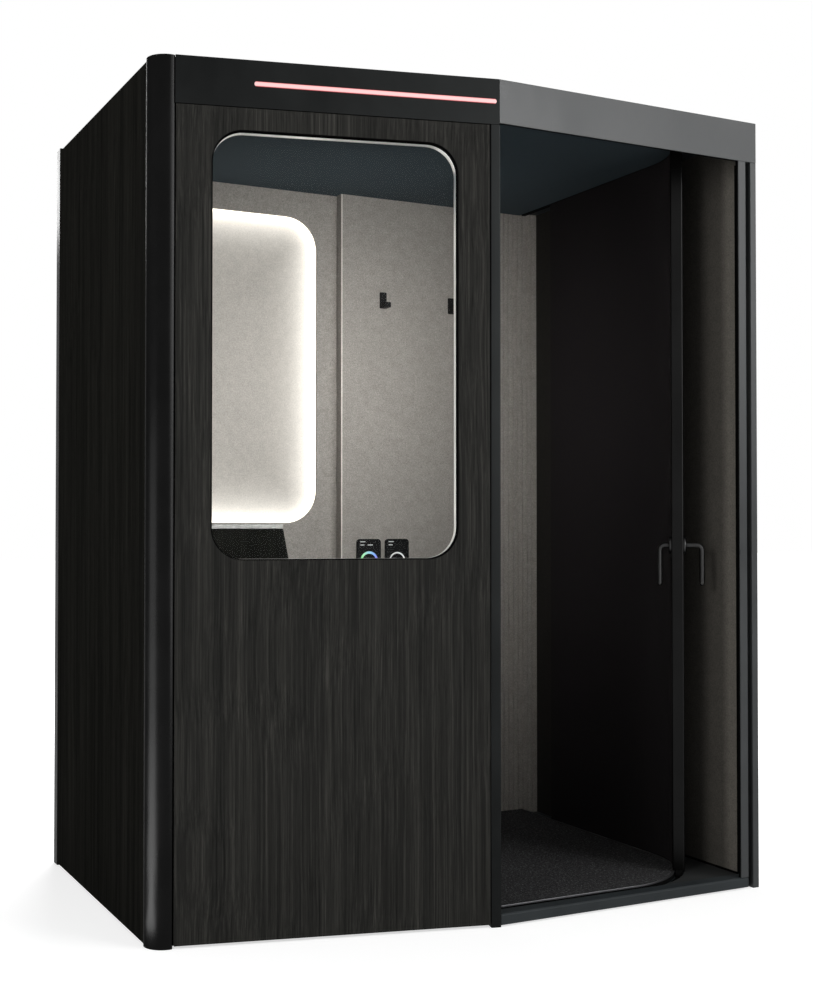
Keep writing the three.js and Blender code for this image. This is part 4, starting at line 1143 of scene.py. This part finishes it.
# Door leaf in three pieces: the run along the wall, which goes into the bend as the door closes,
# the bend, and the stretch that follows the stile
leaf_turn = STILE_ANGLE - math.asin((STILE_REACH + GAP) / (TRACK_R - LEAF_HALF))
wall_x = TRACK_X + TRACK_R
run = []
for i in range(13):
    y = TRACK_Y + (LEAF_END - TRACK_Y) * i / 12
    run.append(((wall_x - LEAF_HALF, y), (wall_x + LEAF_HALF, y)))
straight = leaf_strip("leaf_run", run)
dress(straight, "leaf", "leaf")
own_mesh(straight)

bend = leaf_strip("leaf_bend", [on_track(leaf_turn * i / 32, LEAF_HALF, LEAF_HALF) for i in range(33)])
dress(bend, "leaf", "leaf", "door_leaf", body=None)
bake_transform(bend)

tail = leaf_turn - LEAD_TURN
lead_steps = [tail + (leaf_turn - tail) * i / 16 for i in range(17)]
lead = leaf_strip("leaf_lead", [on_track(angle, LEAF_HALF - 4.5, LEAF_HALF - 1) for angle in lead_steps])
dress(lead, "leaf", "leaf", body=None)
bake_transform(lead)


# 1 for rays that show the backdrop: straight from the camera, or by way of a mirror or glass
def seen_directly(tree):
    path = tree.nodes.new("ShaderNodeLightPath")
    seen = path.outputs["Is Camera Ray"]
    for ray in ("Is Glossy Ray", "Is Transmission Ray"):
        either = tree.nodes.new("ShaderNodeMath")
        either.operation = "MAXIMUM"
        tree.links.new(seen, either.inputs[0])
        tree.links.new(path.outputs[ray], either.inputs[1])
        seen = either.outputs[0]
    return seen


# Floor: white to the eye, with the pod's shadow, and pale grey to the light
STAGE = 40.0
floor_mesh = bpy.data.meshes.new("studio_floor")
corners = rect(-STAGE, STAGE, -STAGE, STAGE)
floor_mesh.from_pydata([(x, y, 0) for x, y in corners], [], [(0, 1, 2, 3)])
floor = bpy.data.objects.new("studio_floor", floor_mesh)
bpy.context.scene.collection.objects.link(floor)
floor_paint = Finish("studio_white", (0.6, 0.6, 0.6), 0.9, 0.0, 0.0)
floor_paint.set("Emission Color", (1, 1, 1, 1))
distance = floor_paint.node("ShaderNodeVectorMath")
distance.operation = "LENGTH"
floor_paint.link(floor_paint.place, distance.inputs[0])
lift = floor_paint.span(distance.outputs["Value"], 2.0, 6.0, 0.62, 1.0)
seen = seen_directly(floor_paint.tree)
floor_paint.feed("Emission Strength", floor_paint.math("MULTIPLY", lift, seen))
floor_mesh.materials.append(floor_paint.material)

# World: white where it is seen, and softer as a light
AMBIENT = 0.35
BACKDROP = 1.0
world = bpy.data.worlds.new("studio")
bpy.context.scene.world = world
world.use_nodes = True
tree = world.node_tree
tree.nodes.clear()
mixed = tree.nodes.new("ShaderNodeMixShader")
tree.links.new(seen_directly(tree), mixed.inputs[0])
for i, strength in enumerate((AMBIENT, BACKDROP)):
    glow = tree.nodes.new("ShaderNodeBackground")
    glow.inputs["Color"].default_value = (1, 1, 1, 1)
    glow.inputs["Strength"].default_value = strength
    tree.links.new(glow.outputs[0], mixed.inputs[i + 1])
output = tree.nodes.new("ShaderNodeOutputWorld")
tree.links.new(mixed.outputs[0], output.inputs["Surface"])


def lamp(name, place, target, width, height, watts):
    data = bpy.data.lights.new(name, "AREA")
    data.shape = "RECTANGLE"
    data.size = width
    data.size_y = height
    data.energy = watts
    light = bpy.data.objects.new(name, data)
    light.location = place
    light.rotation_euler = (Vector(target) - Vector(place)).to_track_quat("-Z", "Y").to_euler()
    light.visible_camera = False
    bpy.context.scene.collection.objects.link(light)
    return light


# Card of a given brightness that only shows in glossy surfaces
def card(name, place, target, width, height, level):
    lamp(name, place, target, width, height, level * math.pi * width * height).visible_diffuse = False


# Soft lamps before, beside and behind the pod, and a small warm one in the room
lamp("softbox_door", (3.4, -5.0, 3.2), (0.4, -0.6, 1.6), 3.0, 3.0, 195)
side_light = lamp("softbox_left", (-4.0, -2.0, 2.4), (0.2, -0.4, 1.2), 2.4, 1.8, 85)
side_light.visible_glossy = False
lamp("softbox_back", (1.5, 4.5, 3.4), (0.0, 0.4, 1.2), 3.0, 2.0, 330)
room_light = lamp("room_light", (-0.02, -0.5, 1.68), (0.05, 0.56, 1.5), 0.6, 0.4, 4.5)
room_light.data.color = (1.0, 0.975, 0.955)
room_light.data.spread = math.radians(125)
room_light.visible_glossy = False
room_light.visible_transmission = False

# Cards for the highlights of the column, the posts and the headers
card("card_floor_near", (-1.27, -0.36, 0.004), (-1.27, -0.36, 1.0), 0.5, 0.26, 16)
card("card_floor_middle", (-2.05, -0.36, 0.004), (-2.05, -0.36, 1.0), 1.1, 1.0, 14)
card("card_floor_far", (-3.6, -0.36, 0.004), (-3.6, -0.36, 1.0), 2.0, 2.2, 10)
card("card_left", (-5.2, -0.36, 0.75), (-0.87, -0.37, 0.75), 3.2, 1.5, 3.5)
card("card_rim", (-1.3, 3.6, 3.4), (-0.87, -0.36, 2.0), 0.9, 1.6, 12)
card("card_front", (0.7, -5.0, 2.9), (-0.1, -0.6, 2.0), 1.4, 2.6, 4.3)
card("card_door", (2.3, -5.2, 3.0), (0.0, -0.5, 1.6), 1.2, 2.2, 9)
card("card_low", (2.0, -5.2, 0.85), (0.0, -0.5, 0.9), 1.6, 1.3, 9)

# Camera, at the photograph's viewing angle
LENS = 49.175
SENSOR = 36.0
VIEWPOINT = (-1.88625, -3.74289, 1.05507)
VIEW_LIFT = 1.0531
VIEW_TURN = -27.276
camera_data = bpy.data.cameras.new("camera")
camera_data.lens = LENS
camera_data.sensor_width = SENSOR
camera = bpy.data.objects.new("camera", camera_data)
camera.location = VIEWPOINT
camera.rotation_euler = (math.radians(90 + VIEW_LIFT), 0, math.radians(VIEW_TURN))
bpy.context.scene.collection.objects.link(camera)
bpy.context.scene.camera = camera
bpy.context.scene.view_settings.view_transform = "Standard"

bpy.context.view_layer.update()
